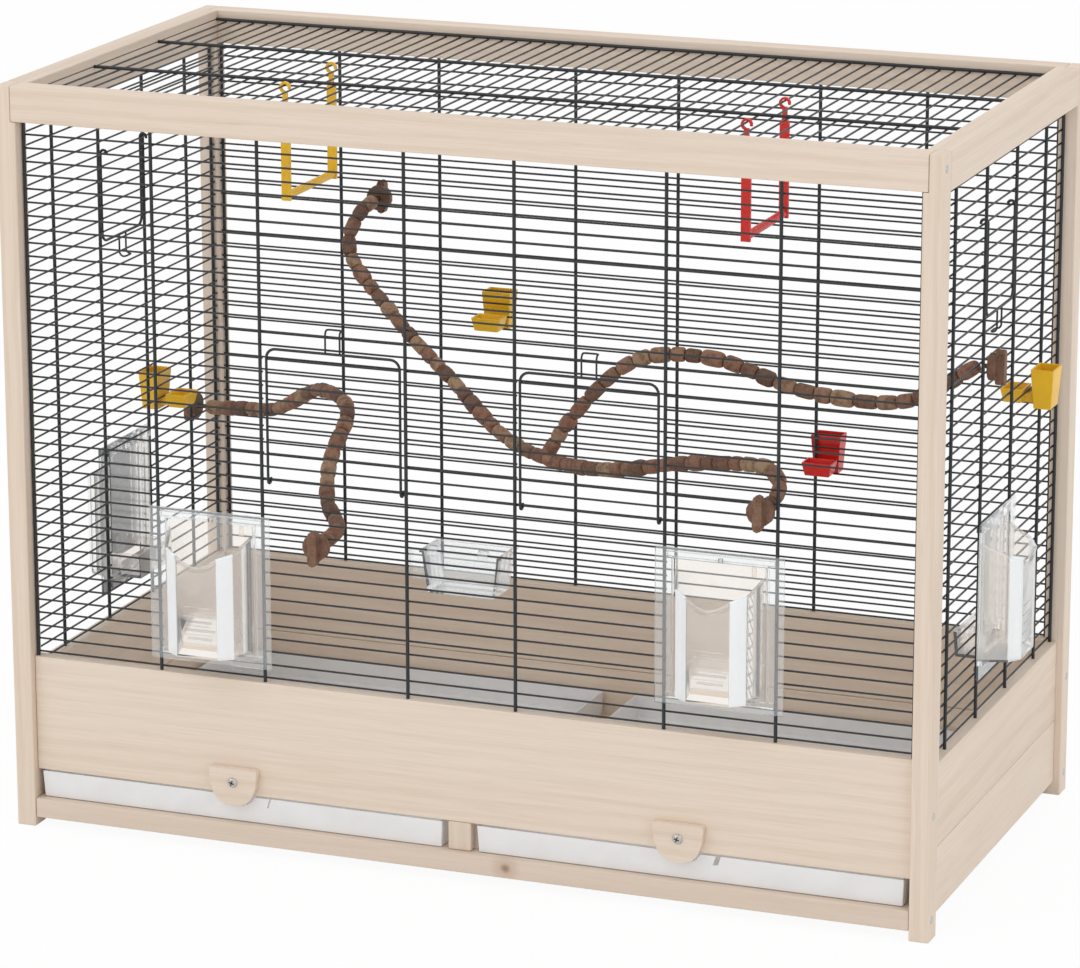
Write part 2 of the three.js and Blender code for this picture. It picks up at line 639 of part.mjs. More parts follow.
// ---- Droppings trays and turn buttons ----
function tray(centre) {
  const z = [BOTTOM_RAIL_TOP + 0.5, BOTTOM_RAIL_TOP + 0.5 + TRAY_H];
  const y = [-boardFace + GAP, -boardFace + GAP + TRAY_D];
  const middle = [centre, (y[0] + y[1]) / 2];
  const rim = [TRAY_W / 2, TRAY_D / 2];
  const foot = rim.map((half) => half - 1.2);
  const outer = tub(middle, z, foot, rim);
  const inner = tub(middle, [z[0] + WALL, z[1] + 1], foot.map((half) => half - WALL), rim.map((half) => half - WALL));
  const dip = new THREE.Shape();
  dip.moveTo(z[1] + 1, centre - GRIP_W / 2 - 3);
  dip.lineTo(z[1] + 1, centre + GRIP_W / 2 + 3);
  dip.lineTo(GRIP_Z, centre + GRIP_W / 2);
  dip.lineTo(GRIP_Z, centre - GRIP_W / 2);
  return outer.subtract(inner).subtract(profile(dip, "zx", [y[0] - 1, y[0] + 4]));
}

add("tray_left", tray(DIVIDER_X - TRAY_X + 0.5), "tray");
add("tray_right", tray(DIVIDER_X + TRAY_X - 0.5), "tray");

function turnButton(x) {
  const outline = new THREE.Shape();
  const half = BUTTON_W / 2;
  const top = BUTTON_PIVOT_Z + BUTTON_TOP;
  const low = BUTTON_PIVOT_Z - BUTTON_DROP;
  outline.moveTo(top - 3, x - half);
  outline.quadraticCurveTo(top, x - half, top, x - half + 3);
  outline.lineTo(top, x + half - 3);
  outline.quadraticCurveTo(top, x + half, top - 3, x + half);
  outline.bezierCurveTo(low + 6, x + half - 1, low, x + half - 9, low, x);
  outline.bezierCurveTo(low, x - half + 9, low + 6, x - half + 1, top - 3, x - half);
  const front = -boardFace - GAP;
  return profile(outline, "zx", [front - BUTTON_T, front], 5)
    .subtract(pin("y", [x, 0, BUTTON_PIVOT_Z], 2.5, [front - BUTTON_T - 1, front + 1]));
}

function buttonScrew(x) {
  const front = -boardFace - GAP - BUTTON_T - GAP;
  const outline = new THREE.Shape();
  outline.moveTo(0, 0);
  outline.lineTo(2.1, 0);
  outline.lineTo(2.1, 14);
  outline.lineTo(4.5, 14);
  outline.quadraticCurveTo(4, 16, 0, 16.4);
  outline.lineTo(0, 0);
  const head = new THREE.LatheGeometry(outline.getPoints(3), 10);
  return solid(head.rotateX(Math.PI).translate(x, front + 14, BUTTON_PIVOT_Z));
}

for (const [name, x] of [["left", BUTTON_LEFT_X], ["right", BUTTON_RIGHT_X]]) {
  add(`turn_button_${name}`, turnButton(x), "button");
  add(`turn_button_screw_${name}`, buttonScrew(x), "screw");
}

// ---- Swings ----
// Each hangs from one roof wire by two open hooks, with a round bar between its flat arms.
function swing(x, middle) {
  const wireZ = ROOF_PLANE - WIRE_AXIS_Y;
  const hookZ = wireZ - HOOK_DROP;
  const outer = HOOK_BORE + HOOK_T;
  const shoulder = wireZ - SWING_SHOULDER;
  const neckTop = hookZ - HOOK_BORE - 0.2;
  const wide = SWING_ARM_W / 2;
  const slim = SWING_NECK_W / 2;
  const ends = [-1, 1].map((side) => middle + side * SWING_SPAN / 2);
  const pieces = [pin("y", [x, 0, SWING_BAR_Z], SWING_BAR_R, ends, 10)];
  for (const y of ends) {
    const run = [y - SWING_ARM_T / 2, y + SWING_ARM_T / 2];
    const arm = polygon([[SWING_BAR_Z - wide, x - wide], [SWING_BAR_Z - wide, x + wide],
      [shoulder, x + wide], [shoulder + wide, x + slim], [neckTop, x + slim],
      [neckTop, x - slim], [shoulder + wide, x - slim], [shoulder, x - wide]]);
    const hook = new THREE.Shape();
    hook.absarc(hookZ, x, outer, -Math.PI + 0.2, Math.PI / 2 + 0.3, false);
    hook.absarc(hookZ, x, HOOK_BORE, Math.PI / 2 + 0.3, -Math.PI + 0.2, true);
    pieces.push(profile(arm, "zx", run), profile(hook, "zx", run, 5));
  }
  return join(pieces);
}

add("swing_yellow", swing(SWING_YELLOW_X, SWING_YELLOW_Y), "yellow");
add("swing_red", swing(SWING_RED_X, SWING_RED_Y), "red");

// ---- Branch perches ----
// Each end stops just inside a grille, and a stud goes on between two wires to a wooden wing nut.
const STUD_IN = ROD / 2 + GAP + WIRE + GAP;

function branch(points, radius, steps) {
  const path = new THREE.CatmullRomCurve3(points.map((p) => new THREE.Vector3(...p)), false, "centripetal");
  const section = new THREE.Shape();
  section.absarc(0, 0, radius, 0, 2 * Math.PI, false);
  return solid(new THREE.ExtrudeGeometry(section, {
    steps,
    curveSegments: 4,
    bevelEnabled: false,
    extrudePath: path,
  }));
}

// A stud and its seat in the wall frame, along the outward direction.
function stud(x, z) {
  const tip = -ROD / 2 - GAP - NUT_T - NUT_BORE_L + 2 * GAP;
  return join(
    pin("y", [x, 0, z], PERCH_R, [STUD_IN, STUD_IN + SEAT_L], 8),
    pin("y", [x, 0, z], STUD_R, [tip, STUD_IN + 1], 8),
  );
}

function wingNut(x, z) {
  const seat = -ROD / 2 - GAP;
  const crown = seat - NUT_T;
  const disc = pin("y", [x, 0, z], NUT_R, [crown, seat], 14);
  const wing = new THREE.Shape();
  const reach = WING_REACH - WING_T / 2;
  wing.absarc(z + reach, x, WING_T / 2, -Math.PI / 2, Math.PI / 2, false);
  wing.absarc(z - reach, x, WING_T / 2, Math.PI / 2, 1.5 * Math.PI, false);
  return join(disc, profile(wing, "zx", [crown - WING_RISE, crown + 1], 2))
    .subtract(pin("y", [x, 0, z], STUD_R + GAP, [crown - NUT_BORE_L, seat + 1], 8));
}

const wallMiddle = { front: FRONT_PLANE, rear: FRONT_PLANE, left: SIDE_PLANE, right: SIDE_PLANE };
const inward = (wall, depth) => wallMiddle[wall] - STUD_IN - depth;
const betweenRows = (row) => rowHeight(row + 0.5);

const shortEnds = { left: [-150, betweenRows(11)], front: [-126, betweenRows(10)] };
const shortPerch = join(
  branch([
    [-inward("left", 4), 150, betweenRows(11)],
    [-inward("left", 14), 148, betweenRows(11)],
    [-344, 132, 291],
    [-296, 100, 302],
    [-228, 45, 339],
    [-178, -10, 338],
    [-173, -60, 309],
    [-152, -115, 286],
    [-127, -150, 276],
    [-126, -inward("front", 14), betweenRows(10)],
    [-126, -inward("front", 4), betweenRows(10)],
  ], PERCH_R, 17),
  WALLS.left(stud(...shortEnds.left)),
  WALLS.front(stud(...shortEnds.front)),
);
add("perch_small", shortPerch, "bark");
add("perch_nut_small_left", WALLS.left(wingNut(...shortEnds.left)), "bark");
add("perch_nut_small_front", WALLS.front(wingNut(...shortEnds.front)), "bark");

const largeEnds = {
  rear: [236, betweenRows(28)],
  front: [258, betweenRows(16)],
  right: [-29, betweenRows(24)],
};
const largePerch = join(
  branch([
    [-236, inward("rear", 4), betweenRows(28)],
    [-237, inward("rear", 14), betweenRows(28)],
    [-249, 156, 446],
    [-188, 117, 392],
    [-118, 75, 352],
    [-47, 25, 318],
    [10, -8, 311],
    [78, -55, 322],
    [177, -113, 352],
    [252, -150, 362],
    [266, -inward("front", 18), 350],
    [258, -inward("front", 4), betweenRows(16)],
  ], PERCH_R, 23),
  branch([
    [0, -2, 312],
    [23, -3, 348],
    [78, 5, 402],
    [144, 7, 409],
    [227, -3, 391],
    [322, -18, 394],
    [inward("right", 16), -27, betweenRows(24) - 8],
    [inward("right", 4), -29, betweenRows(24)],
  ], PERCH_R, 13),
  WALLS.rear(stud(...largeEnds.rear)),
  WALLS.front(stud(...largeEnds.front)),
  WALLS.right(stud(...largeEnds.right)),
);
add("perch_large", largePerch, "bark");
add("perch_nut_large_rear", WALLS.rear(wingNut(...largeEnds.rear)), "bark");
add("perch_nut_large_front", WALLS.front(wingNut(...largeEnds.front)), "bark");
add("perch_nut_large_right", WALLS.right(wingNut(...largeEnds.right)), "bark");

// ---- Treat clips ----
// One moulded piece pushed through the grille: a cup outside, a neck between two wires, and a
// short trough inside.
function clipTub(x, [near, far], z, wall) {
  const middle = [x, (near + far) / 2];
  const rim = [CLIP_W / 2 - wall, (far - near) / 2 - wall];
  return tub(middle, z, rim.map((half) => half - CLIP_DRAFT), rim);
}

function treatClip(x, row) {
  const z = betweenRows(row);
  const face = -ROD / 2 - GAP;
  const neckHalf = (ROW_PITCH - WIRE) / 2 - GAP;
  const cupRun = [face - CLIP_REACH, face];
  const troughRun = [STUD_IN, STUD_IN + CLIP_TROUGH_REACH];
  const foot = z - CLIP_DROP;
  const low = z - neckHalf;
  const cup = clipTub(x, cupRun, [foot, foot + CLIP_H], 0);
  const trough = clipTub(x, troughRun, [low, low + CLIP_TROUGH_H], 0);
  const half = CLIP_NECK_W / 2;
  const neck = block([x - half, x + half], [face - CLIP_DRAFT - CLIP_WALL, STUD_IN + CLIP_DRAFT + CLIP_WALL],
    [low, z + neckHalf]);
  const hollows = [
    clipTub(x, cupRun, [foot + CLIP_WALL, foot + CLIP_H + 1], CLIP_WALL),
    clipTub(x, troughRun, [low + CLIP_WALL, low + CLIP_TROUGH_H + 1], CLIP_WALL),
  ];
  return join(cup, trough, neck).subtract(join(hollows));
}

add("treat_clip_left", WALLS.left(treatClip(-82, 13)), "yellow");
add("treat_clip_right", WALLS.right(treatClip(106, 19)), "yellow");
add("treat_clip_rear_yellow", WALLS.rear(treatClip(-REAR_YELLOW_X, 19)), "yellow");
add("treat_clip_rear_red", WALLS.rear(treatClip(-REAR_RED_X, 10)), "red");

export default cage;
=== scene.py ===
import json
import math
import random

import bmesh
import bpy
from bpy.props import FloatProperty, FloatVectorProperty, IntProperty, PointerProperty
from mathutils import Matrix, Vector, noise


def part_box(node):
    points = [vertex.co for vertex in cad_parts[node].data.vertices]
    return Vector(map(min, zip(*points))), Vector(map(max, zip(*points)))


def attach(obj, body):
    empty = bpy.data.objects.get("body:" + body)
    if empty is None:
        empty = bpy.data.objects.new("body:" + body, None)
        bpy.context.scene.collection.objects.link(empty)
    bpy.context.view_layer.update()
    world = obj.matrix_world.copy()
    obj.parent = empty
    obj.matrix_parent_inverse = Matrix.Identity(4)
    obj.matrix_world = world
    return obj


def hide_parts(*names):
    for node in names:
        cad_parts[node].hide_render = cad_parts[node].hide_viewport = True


bl_info = {
    "name": "Canary breeding cage",
    "version": (1, 0, 0),
    "blender": (4, 5, 0),
    "location": "View3D > Sidebar > Cage",
    "description": "Pine breeding cage with wire grilles, feeders, trays, swings and perches",
    "category": "Object",
}

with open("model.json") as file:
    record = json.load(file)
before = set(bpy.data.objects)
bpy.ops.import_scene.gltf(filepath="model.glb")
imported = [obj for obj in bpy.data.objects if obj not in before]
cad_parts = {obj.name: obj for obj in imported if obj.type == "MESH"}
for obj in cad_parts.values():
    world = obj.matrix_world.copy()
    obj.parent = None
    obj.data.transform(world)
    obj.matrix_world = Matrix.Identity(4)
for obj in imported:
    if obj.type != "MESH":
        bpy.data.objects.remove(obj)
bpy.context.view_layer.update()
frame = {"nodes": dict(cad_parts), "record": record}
NODES = frame["nodes"]
MM = 0.001
WHITE = (1.0, 1.0, 1.0, 1.0)

# The grilles in millimetres, as in the CAD model: rods and edges are counted from the middle
# of a wall, planes from the middle of the cage or from the ground.
FRONT_RODS = (-271.0, -176.0, -47.5, 47.5, 176.0, 271.0)
SIDE_RODS = (-130.5, -43.5, 43.5, 130.5)
ROOF_RODS = (-63.0, 63.0)
FRONT_EDGE = 386.0
SIDE_EDGE = 183.0
FRONT_PLANE = 194.0
SIDE_PLANE = 393.0
ROOF_PLANE = 632.0
ROD_ENDS = {
    "front": (147.0, 613.0),
    "rear": (137.0, 613.0),
    "left": (136.0, 611.0),
    "right": (136.0, 611.0),
    "roof": (-388.0, 388.0),
}
ROD_RADIUS = 1.5
ROD_SIDES = 10
WIRE_AXIS = 2.3  # a thin wire's axis behind the rods' axes: it is welded to them
WIRE_LAP = 1.2  # how far a wire that an opening cuts reaches past the axis of its last rod


def row_height(row):
    """Height of a grille wire, counted from the lowest one of the front."""
    wires = bpy.context.scene.cage_wires
    return wires.first_row / MM + row * wires.row_pitch / MM


# ---- Shader arithmetic ----
class Value:
    """A shader socket that takes part in Python arithmetic."""

    def __init__(self, finish, socket):
        self.finish = finish
        self.socket = socket

    def _maths(self, operation, first, second):
        return self.finish.node("ShaderNodeMath", {"operation": operation}, {0: first, 1: second})

    def __add__(self, other):
        return self._maths("ADD", self, other)

    def __radd__(self, other):
        return self._maths("ADD", other, self)

    def __mul__(self, other):
        return self._maths("MULTIPLY", self, other)

    def __rmul__(self, other):
        return self._maths("MULTIPLY", other, self)

    def most(self, other):
        """The larger of this value and another one."""
        return self._maths("MAXIMUM", self, other)


class Finish:
    """A procedural material in the making."""

    def __init__(self, name):
        self.material = bpy.data.materials.new(name)
        self.material.use_nodes = True
        self.tree = self.material.node_tree
        self.tree.nodes.clear()
        self.output = self.tree.nodes.new("ShaderNodeOutputMaterial")

    def node(self, kind, settings=None, inputs=None, output=0):
        """Adds a node: its settings first, then the values or links of its sockets."""
        made = self.tree.nodes.new(kind)
        for name, value in (settings or {}).items():
            if name == "stops":
                ramp = made.color_ramp
                while len(ramp.elements) < len(value):
                    ramp.elements.new(1.0)
                for element, (place, colour) in zip(ramp.elements, value):
                    element.position = place
                    element.color = (*colour, 1.0)
            else:
                setattr(made, name, value)
        for key, value in (inputs or {}).items():
            if isinstance(value, Value):
                self.tree.links.new(value.socket, made.inputs[key])
            else:
                made.inputs[key].default_value = value
        return Value(self, made.outputs[output])

    def place(self, scale=(1, 1, 1), turn=(0, 0, 0), shift=(0, 0, 0)):
        """Object coordinates, shifted, turned and scaled."""
        at = self.node("ShaderNodeTexCoord", output="Object")
        return self.node("ShaderNodeMapping", {"vector_type": "POINT"},
                         {"Vector": at, "Location": shift, "Rotation": turn, "Scale": scale})

    def grain(self, at, scale, detail=3.0, rough=0.5, distortion=0.0):
        """Noise between 0 and 1."""
        return self.node("ShaderNodeTexNoise", {"noise_dimensions": "3D"},
                         {"Vector": at, "Scale": scale, "Detail": detail, "Roughness": rough,
                          "Distortion": distortion})

    def spread(self, value, low, high, to_low=0.0, to_high=1.0):
        """Maps a range of values onto another one, softly and clamped."""
        return self.node("ShaderNodeMapRange", {"interpolation_type": "SMOOTHSTEP", "clamp": True},
                         {"Value": value, "From Min": low, "From Max": high, "To Min": to_low,
                          "To Max": to_high})

    def mix(self, factor, first, second, blend="MIX"):
        """Mixes two colours."""
        return self.node("ShaderNodeMix", {"data_type": "RGBA", "blend_type": blend},
                         {0: factor, 6: colour(first), 7: colour(second)}, output=2)

    def bump(self, height, distance, strength):
        """Turns a height into a normal; the distance is in metres."""
        return self.node("ShaderNodeBump", {}, {"Height": height, "Distance": distance,
                                                "Strength": strength})

    def surface(self, **inputs):
        """Ends the material in a Principled shader; names take underscores for spaces."""
        named = {key.replace("_", " "): value for key, value in inputs.items()}
        return self.ended(self.node("ShaderNodeBsdfPrincipled", {}, named))

    def ended(self, shader):
        """Gives the material its last shader."""
        self.tree.links.new(shader.socket, self.output.inputs["Surface"])
        return self.material


def colour(value):
    """A colour with its alpha, or a link left as it is."""
    if isinstance(value, Value):
        return value
    return (*tuple(value)[:3], 1.0)


FINISHES = {}


def finish_once(name, make, *args):
    """Makes each finish once."""
    if name not in FINISHES:
        FINISHES[name] = make(name, *args)
    return FINISHES[name]


# A small lean of the growth rings' axis, by the axis of the grain
RING_LEAN = {"X": (0.0, 0.05, 0.12), "Y": (0.05, 0.0, 0.12), "Z": (0.12, 0.05, 0.0)}


def drawn_out(axis, share):
    """Scale of a texture that is drawn out along one axis."""
    return tuple(share if letter == axis else 1.0 for letter in "XYZ")


def pine(name, axis, seed, knots=(), painted_shade=0.0):
    """Planed pale pine with its grain along one axis and tight knots at given places, and painted
    shade on pieces that lie in shade.
    """
    look = bpy.context.scene.cage_wood
    finish = Finish(name)
    shift = (seed * 0.37 % 1.0, seed * 0.61 % 1.0, seed * 0.83 % 1.0)
    drift = finish.grain(finish.place(scale=drawn_out(axis, 0.045), shift=shift), 9.0, 2.0, 0.5)
    across = finish.place(scale=drawn_out(axis, 0.16), turn=RING_LEAN[axis],
                          shift=tuple(v * 0.2 for v in shift))
    rings = finish.node("ShaderNodeTexWave",
                        {"wave_type": "RINGS", "rings_direction": axis, "wave_profile": "SIN"},
                        {"Vector": across, "Scale": look.ring_scale, "Distortion": 3.4,
                         "Detail": 3.0, "Detail Scale": 1.6, "Detail Roughness": 0.6})
    late = finish.spread(rings, 0.35, 1.0) * finish.spread(drift, 0.35, 0.62, 0.25, 1.0)
    fibre_at = finish.place(scale=drawn_out(axis, 0.02), shift=shift)
    fibre = finish.grain(fibre_at, 620.0, 3.0, 0.65)
    pores = finish.spread(finish.grain(fibre_at, 1500.0, 2.0, 0.6), 0.60, 0.78)
    tone = finish.mix(late * 0.34, look.pine_colour, look.grain_colour)
    tone = finish.mix(finish.spread(drift, 0.36, 0.66, 0.0, 0.45), tone, look.warm_colour)
    tone = finish.mix(finish.spread(fibre, 0.38, 0.72, 0.0, 0.22), tone, look.grain_colour)
    tone = finish.mix(pores * 0.16, tone, look.knot_colour)
    for place, radius in knots:
        gone = finish.place(shift=tuple(-c for c in place))
        wobble = finish.grain(gone, 90.0, 2.0) * 0.004
        far = finish.node("ShaderNodeVectorMath", {"operation": "LENGTH"}, {0: gone},
                          output="Value") + wobble
        halo = finish.spread(far, radius * 0.9, radius * 2.4, 0.75, 0.0)
        core = finish.spread(far, radius * 0.35, radius * 1.05, 1.0, 0.0)
        tone = finish.mix(halo, tone, look.grain_colour)
        tone = finish.mix(core, tone, look.knot_colour)
    # Painted shade: a piece that lies in shade has its tone pulled towards a darker colour
    if painted_shade:
        tone = finish.mix(painted_shade, tone, look.painted_shade_colour)
    return finish.surface(
        Base_Color=tone,
        Roughness=finish.spread(fibre, 0.3, 0.7, 0.5, 0.66),
        Normal=finish.bump(fibre * 0.5 + late * 0.5, 0.00025, 0.5),
    )


def black_wire(name):
    """Black powder coat on wire: a fine orange peel and a little wear."""
    look = bpy.context.scene.cage_wires
    finish = Finish(name)
    at = finish.place()
    peel = finish.grain(at, 900.0, 2.0)
    worn = finish.spread(finish.grain(at, 60.0, 3.0), 0.62, 0.8, 0.0, 0.35)
    tone = finish.mix(worn, look.wire_colour, look.worn_colour)
    return finish.surface(Base_Color=tone, Roughness=finish.spread(peel, 0.3, 0.7, 0.32, 0.5),
                          Normal=finish.bump(peel, 0.00006, 0.4))


def clear_plastic(name, tint=(0.98, 0.985, 0.985, 1.0), frost=0.0):
    """Thin clear plastic, milky where a wall is seen at a slant, partly haze and partly painted
    reflection, with a painted glow and faint flow marks.
    """
    look = bpy.context.scene.cage_plastics
    finish = Finish(name)
    flow = finish.grain(finish.place(scale=(1.0, 1.0, 0.35)), 55.0, 2.0, 0.5, 0.6)
    haze = finish.grain(finish.place(), 260.0, 3.0)
    facing = finish.node("ShaderNodeLayerWeight", {}, {"Blend": 0.5}, output="Facing")
    # Partly haze, partly painted reflection: walls seen at a slant are made milkier
    haze_and_sheen = finish.spread(facing, 0.12, 0.85, look.clear_veil, look.slant_haze_and_sheen) + haze * 0.05
    # Painted reflection: a floor of milkiness that a finish can set, as on the feeders' bevels
    haze_and_sheen = haze_and_sheen.most(frost)
    tone = finish.mix(finish.spread(haze, 0.4, 0.7, 0.0, 0.6), look.clear_colour,
                      (0.90, 0.93, 0.95))
    # Painted glow: the milky skin gives off light of its own, though it is no lamp
    skin = finish.node("ShaderNodeBsdfPrincipled", {}, {
        "Base Color": tone, "Roughness": finish.spread(haze, 0.3, 0.7, 0.10, 0.2),
        "Emission Color": tone, "Emission Strength": look.painted_glow,
        "Normal": finish.bump(flow, 0.0006, 0.25)})
    lit = finish.node("ShaderNodeBsdfTranslucent", {}, {"Color": tone})
    body = finish.node("ShaderNodeMixShader", {}, {0: 0.5, 1: skin, 2: lit})
    through = finish.node("ShaderNodeBsdfTransparent", {}, {"Color": tint})
    both = finish.node("ShaderNodeMixShader", {}, {0: haze_and_sheen, 1: through, 2: body})
    gloss = finish.node("ShaderNodeBsdfGlossy", {}, {"Color": WHITE, "Roughness": 0.06})
    sheen = finish.node("ShaderNodeFresnel", {}, {"IOR": 1.45})
    return finish.ended(finish.node("ShaderNodeMixShader", {}, {0: sheen, 1: both, 2: gloss}))


def moulded(name, tone, dark, roughness=0.38, scattering=0.0):
    """Opaque moulded plastic with a fine spark texture."""
    finish = Finish(name)
    at = finish.place()
    cloud = finish.grain(at, 35.0, 3.0)
    spark = finish.grain(at, 1400.0, 2.0)
    base = finish.mix(finish.spread(cloud, 0.35, 0.7, 0.0, 0.6), tone, dark)
    gloss = finish.spread(spark, 0.3, 0.7, roughness - 0.07, roughness + 0.08)
    return finish.surface(Base_Color=base, Roughness=gloss, Subsurface_Weight=scattering,
                          Subsurface_Radius=(0.004, 0.003, 0.001),
                          Normal=finish.bump(spark, 0.00005, 0.3))


def coloured_plastic(name):
    """The yellow or red plastic of a swing or a treat clip."""
    tone = getattr(bpy.context.scene.cage_plastics, f"{name}_colour")
    return finish_once(f"{name}_plastic", moulded, tone, tuple(v * 0.82 for v in tone), 0.36, 0.1)


def bark(name, seed):
    """Stained wood beads, each bead in its own tone, with dark relief along the grain."""
    look = bpy.context.scene.cage_perches
    finish = Finish(name)
    bead = finish.node("ShaderNodeAttribute", {"attribute_name": "bead"}, output="Fac")
    at = finish.place(shift=(seed, seed * 2.0, seed * 3.0))
    patch = finish.grain(at, 170.0, 4.0, 0.6)
    streak = finish.grain(at, 620.0, 3.0, 0.7)
    tone = finish.node("ShaderNodeValToRGB", {"stops": (
        (0.0, look.dark_colour), (0.35, look.brown_colour), (0.7, look.red_colour),
        (1.0, look.olive_colour))}, {"Fac": bead})
    tone = finish.mix(finish.spread(patch, 0.46, 0.64, 0.0, 0.6), tone, look.dark_colour)
    tone = finish.mix(finish.spread(streak, 0.52, 0.72, 0.0, 0.4), tone, look.olive_colour)
    return finish.surface(Base_Color=tone, Roughness=finish.spread(patch, 0.3, 0.7, 0.55, 0.8),
                          Normal=finish.bump(patch * 0.7 + streak * 0.3, 0.0008, 0.7))


def zinc(name):
    """Zinc-plated steel with fine scratches."""
    finish = Finish(name)
    fine = finish.grain(finish.place(scale=(1.0, 1.0, 0.1)), 1800.0, 2.0)
    tone = finish.mix(fine, (0.42, 0.41, 0.39), (0.6, 0.59, 0.56))
    return finish.surface(Base_Color=tone, Metallic=0.95,
                          Roughness=finish.spread(fine, 0.3, 0.7, 0.24, 0.42))


# ---- Mesh making ----
CREASE = 38.0  # degrees between faces from which an edge is shaded sharp
EASED = 30.0  # degrees between faces from which an edge is rounded
SAME_PLACE = 0.00001  # metres within which two points of a CAD node are one
FLAT = 0.5  # degrees within which two faces of a CAD node are one


def piece(name, bm, material, body="cage", replaces=(), slot=None, crease=CREASE):
    """Turns a bmesh in millimetres into a finished object that rides on a body."""
    bmesh.ops.scale(bm, vec=(MM, MM, MM), verts=bm.verts)
    return piece_in_metres(name, bm, material, body, replaces, slot, crease)


def piece_in_metres(name, bm, material, body="cage", replaces=(), slot=None, crease=CREASE):
    """Turns a bmesh in metres into a finished object that rides on a body."""
    mesh = bpy.data.meshes.new(name)
    bm.to_mesh(mesh)
    bm.free()
    made = bpy.data.objects.new(name, mesh)
    bpy.context.scene.collection.objects.link(made)
    mesh.materials.append(material)
    mesh.shade_smooth()
    mesh.set_sharp_from_angle(angle=math.radians(crease))
    flat = made.modifiers.new("flat_faces", "WEIGHTED_NORMAL")
    flat.keep_sharp = True
    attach(made, body)
    if replaces:
        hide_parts(*replaces)
    return made


def merged_node(node):
    """A merged copy of a CAD node, in metres, with its flat faces made whole again."""
    bm = bmesh.new()
    bm.from_mesh(NODES[node].data)
    bmesh.ops.remove_doubles(bm, verts=bm.verts, dist=SAME_PLACE)
    bmesh.ops.dissolve_limit(bm, angle_limit=math.radians(FLAT), verts=bm.verts, edges=bm.edges)
    return bm


def ease_edges(bm, width, segments=2):
    """Rounds the edges where two faces meet at an angle."""
    limit = math.radians(EASED)
    sharp = [e for e in bm.edges if e.is_manifold and e.calc_face_angle(0.0) > limit]
    bmesh.ops.bevel(bm, geom=sharp, offset=width, offset_type="OFFSET", affect="EDGES",
                    segments=segments, profile=0.5, material=-1, clamp_overlap=True)


def eased_node(node, material, width, segments=2):
    """A CAD node with its edges rounded by a width in millimetres, in place of that node."""
    bm = merged_node(node)
    ease_edges(bm, width * MM, segments)
    return piece_in_metres(f"{node}_finished", bm, material, node_body(node), (node,),
                           node_slot(node))


def node_body(node):
    """The body that a CAD node belongs to."""
    for body, members in frame["record"]["behaviour"]["bodies"].items():
        if node in members:
            return body
    raise RuntimeError(f"no body holds {node}")


def node_slot(node):
    """The record's material slot of a CAD node."""
    for part in frame["record"]["subparts"]:
        if part["node"] == node:
            return part["material_slot"]
    raise RuntimeError(f"no slot for {node}")


def add_bar(bm, start, end, radius, sides=8):
    """Adds a straight round bar between two points."""
    start, end = Vector(start), Vector(end)
    way = end - start
    turn = way.to_track_quat("Z", "Y").to_matrix().to_4x4()
    bmesh.ops.create_cone(bm, cap_ends=True, cap_tris=False, segments=sides, radius1=radius,
                          radius2=radius, depth=way.length,
                          matrix=Matrix.Translation((start + end) / 2) @ turn)


def add_bent_wire(bm, points, radius):
    """Adds a round wire along a path, swept by a bevelled curve."""
    curve = bpy.data.curves.new("path", "CURVE")
    curve.dimensions = "3D"
    curve.bevel_depth = radius
    curve.bevel_resolution = 2
    curve.use_fill_caps = True
    spline = curve.splines.new("POLY")
    spline.points.add(len(points) - 1)
    for knot, point in zip(spline.points, points):
        knot.co = (*point, 1.0)
    holder = bpy.data.objects.new("path", curve)
    mesh = bpy.data.meshes.new_from_object(holder)
    bm.from_mesh(mesh)
    bpy.data.objects.remove(holder)
    bpy.data.curves.remove(curve)
    bpy.data.meshes.remove(mesh)


def moved_points(geometry):
    """The points in what an extrusion has drawn out."""
    return [part for part in geometry if isinstance(part, bmesh.types.BMVert)]


def arc(centre, radius, start, end, steps, across, up):
    """Points on an arc: angles in degrees from across towards up."""
    across, up, centre = Vector(across), Vector(up), Vector(centre)
    return [centre + radius * (math.cos(t) * across + math.sin(t) * up)
            for t in (math.radians(start + (end - start) * k / steps) for k in range(steps + 1))]


WALLS = {
    "front": Matrix.Translation((0, -FRONT_PLANE, 0)),
    "rear": Matrix.Translation((0, FRONT_PLANE, 0)) @ Matrix.Rotation(math.pi, 4, "Z"),
    "left": Matrix.Translation((-SIDE_PLANE, 0, 0)) @ Matrix.Rotation(-math.pi / 2, 4, "Z"),
    "right": Matrix.Translation((SIDE_PLANE, 0, 0)) @ Matrix.Rotation(math.pi / 2, 4, "Z"),
    "roof": Matrix.Translation((0, 0, ROOF_PLANE)) @ Matrix(
        ((0, 0, 1, 0), (-1, 0, 0, 0), (0, -1, 0, 0), (0, 0, 0, 1))),
}


def to_wall(bm, wall):
    """Moves what is drawn in a wall's own frame to that wall."""
    bmesh.ops.transform(bm, matrix=WALLS[wall], verts=bm.verts)


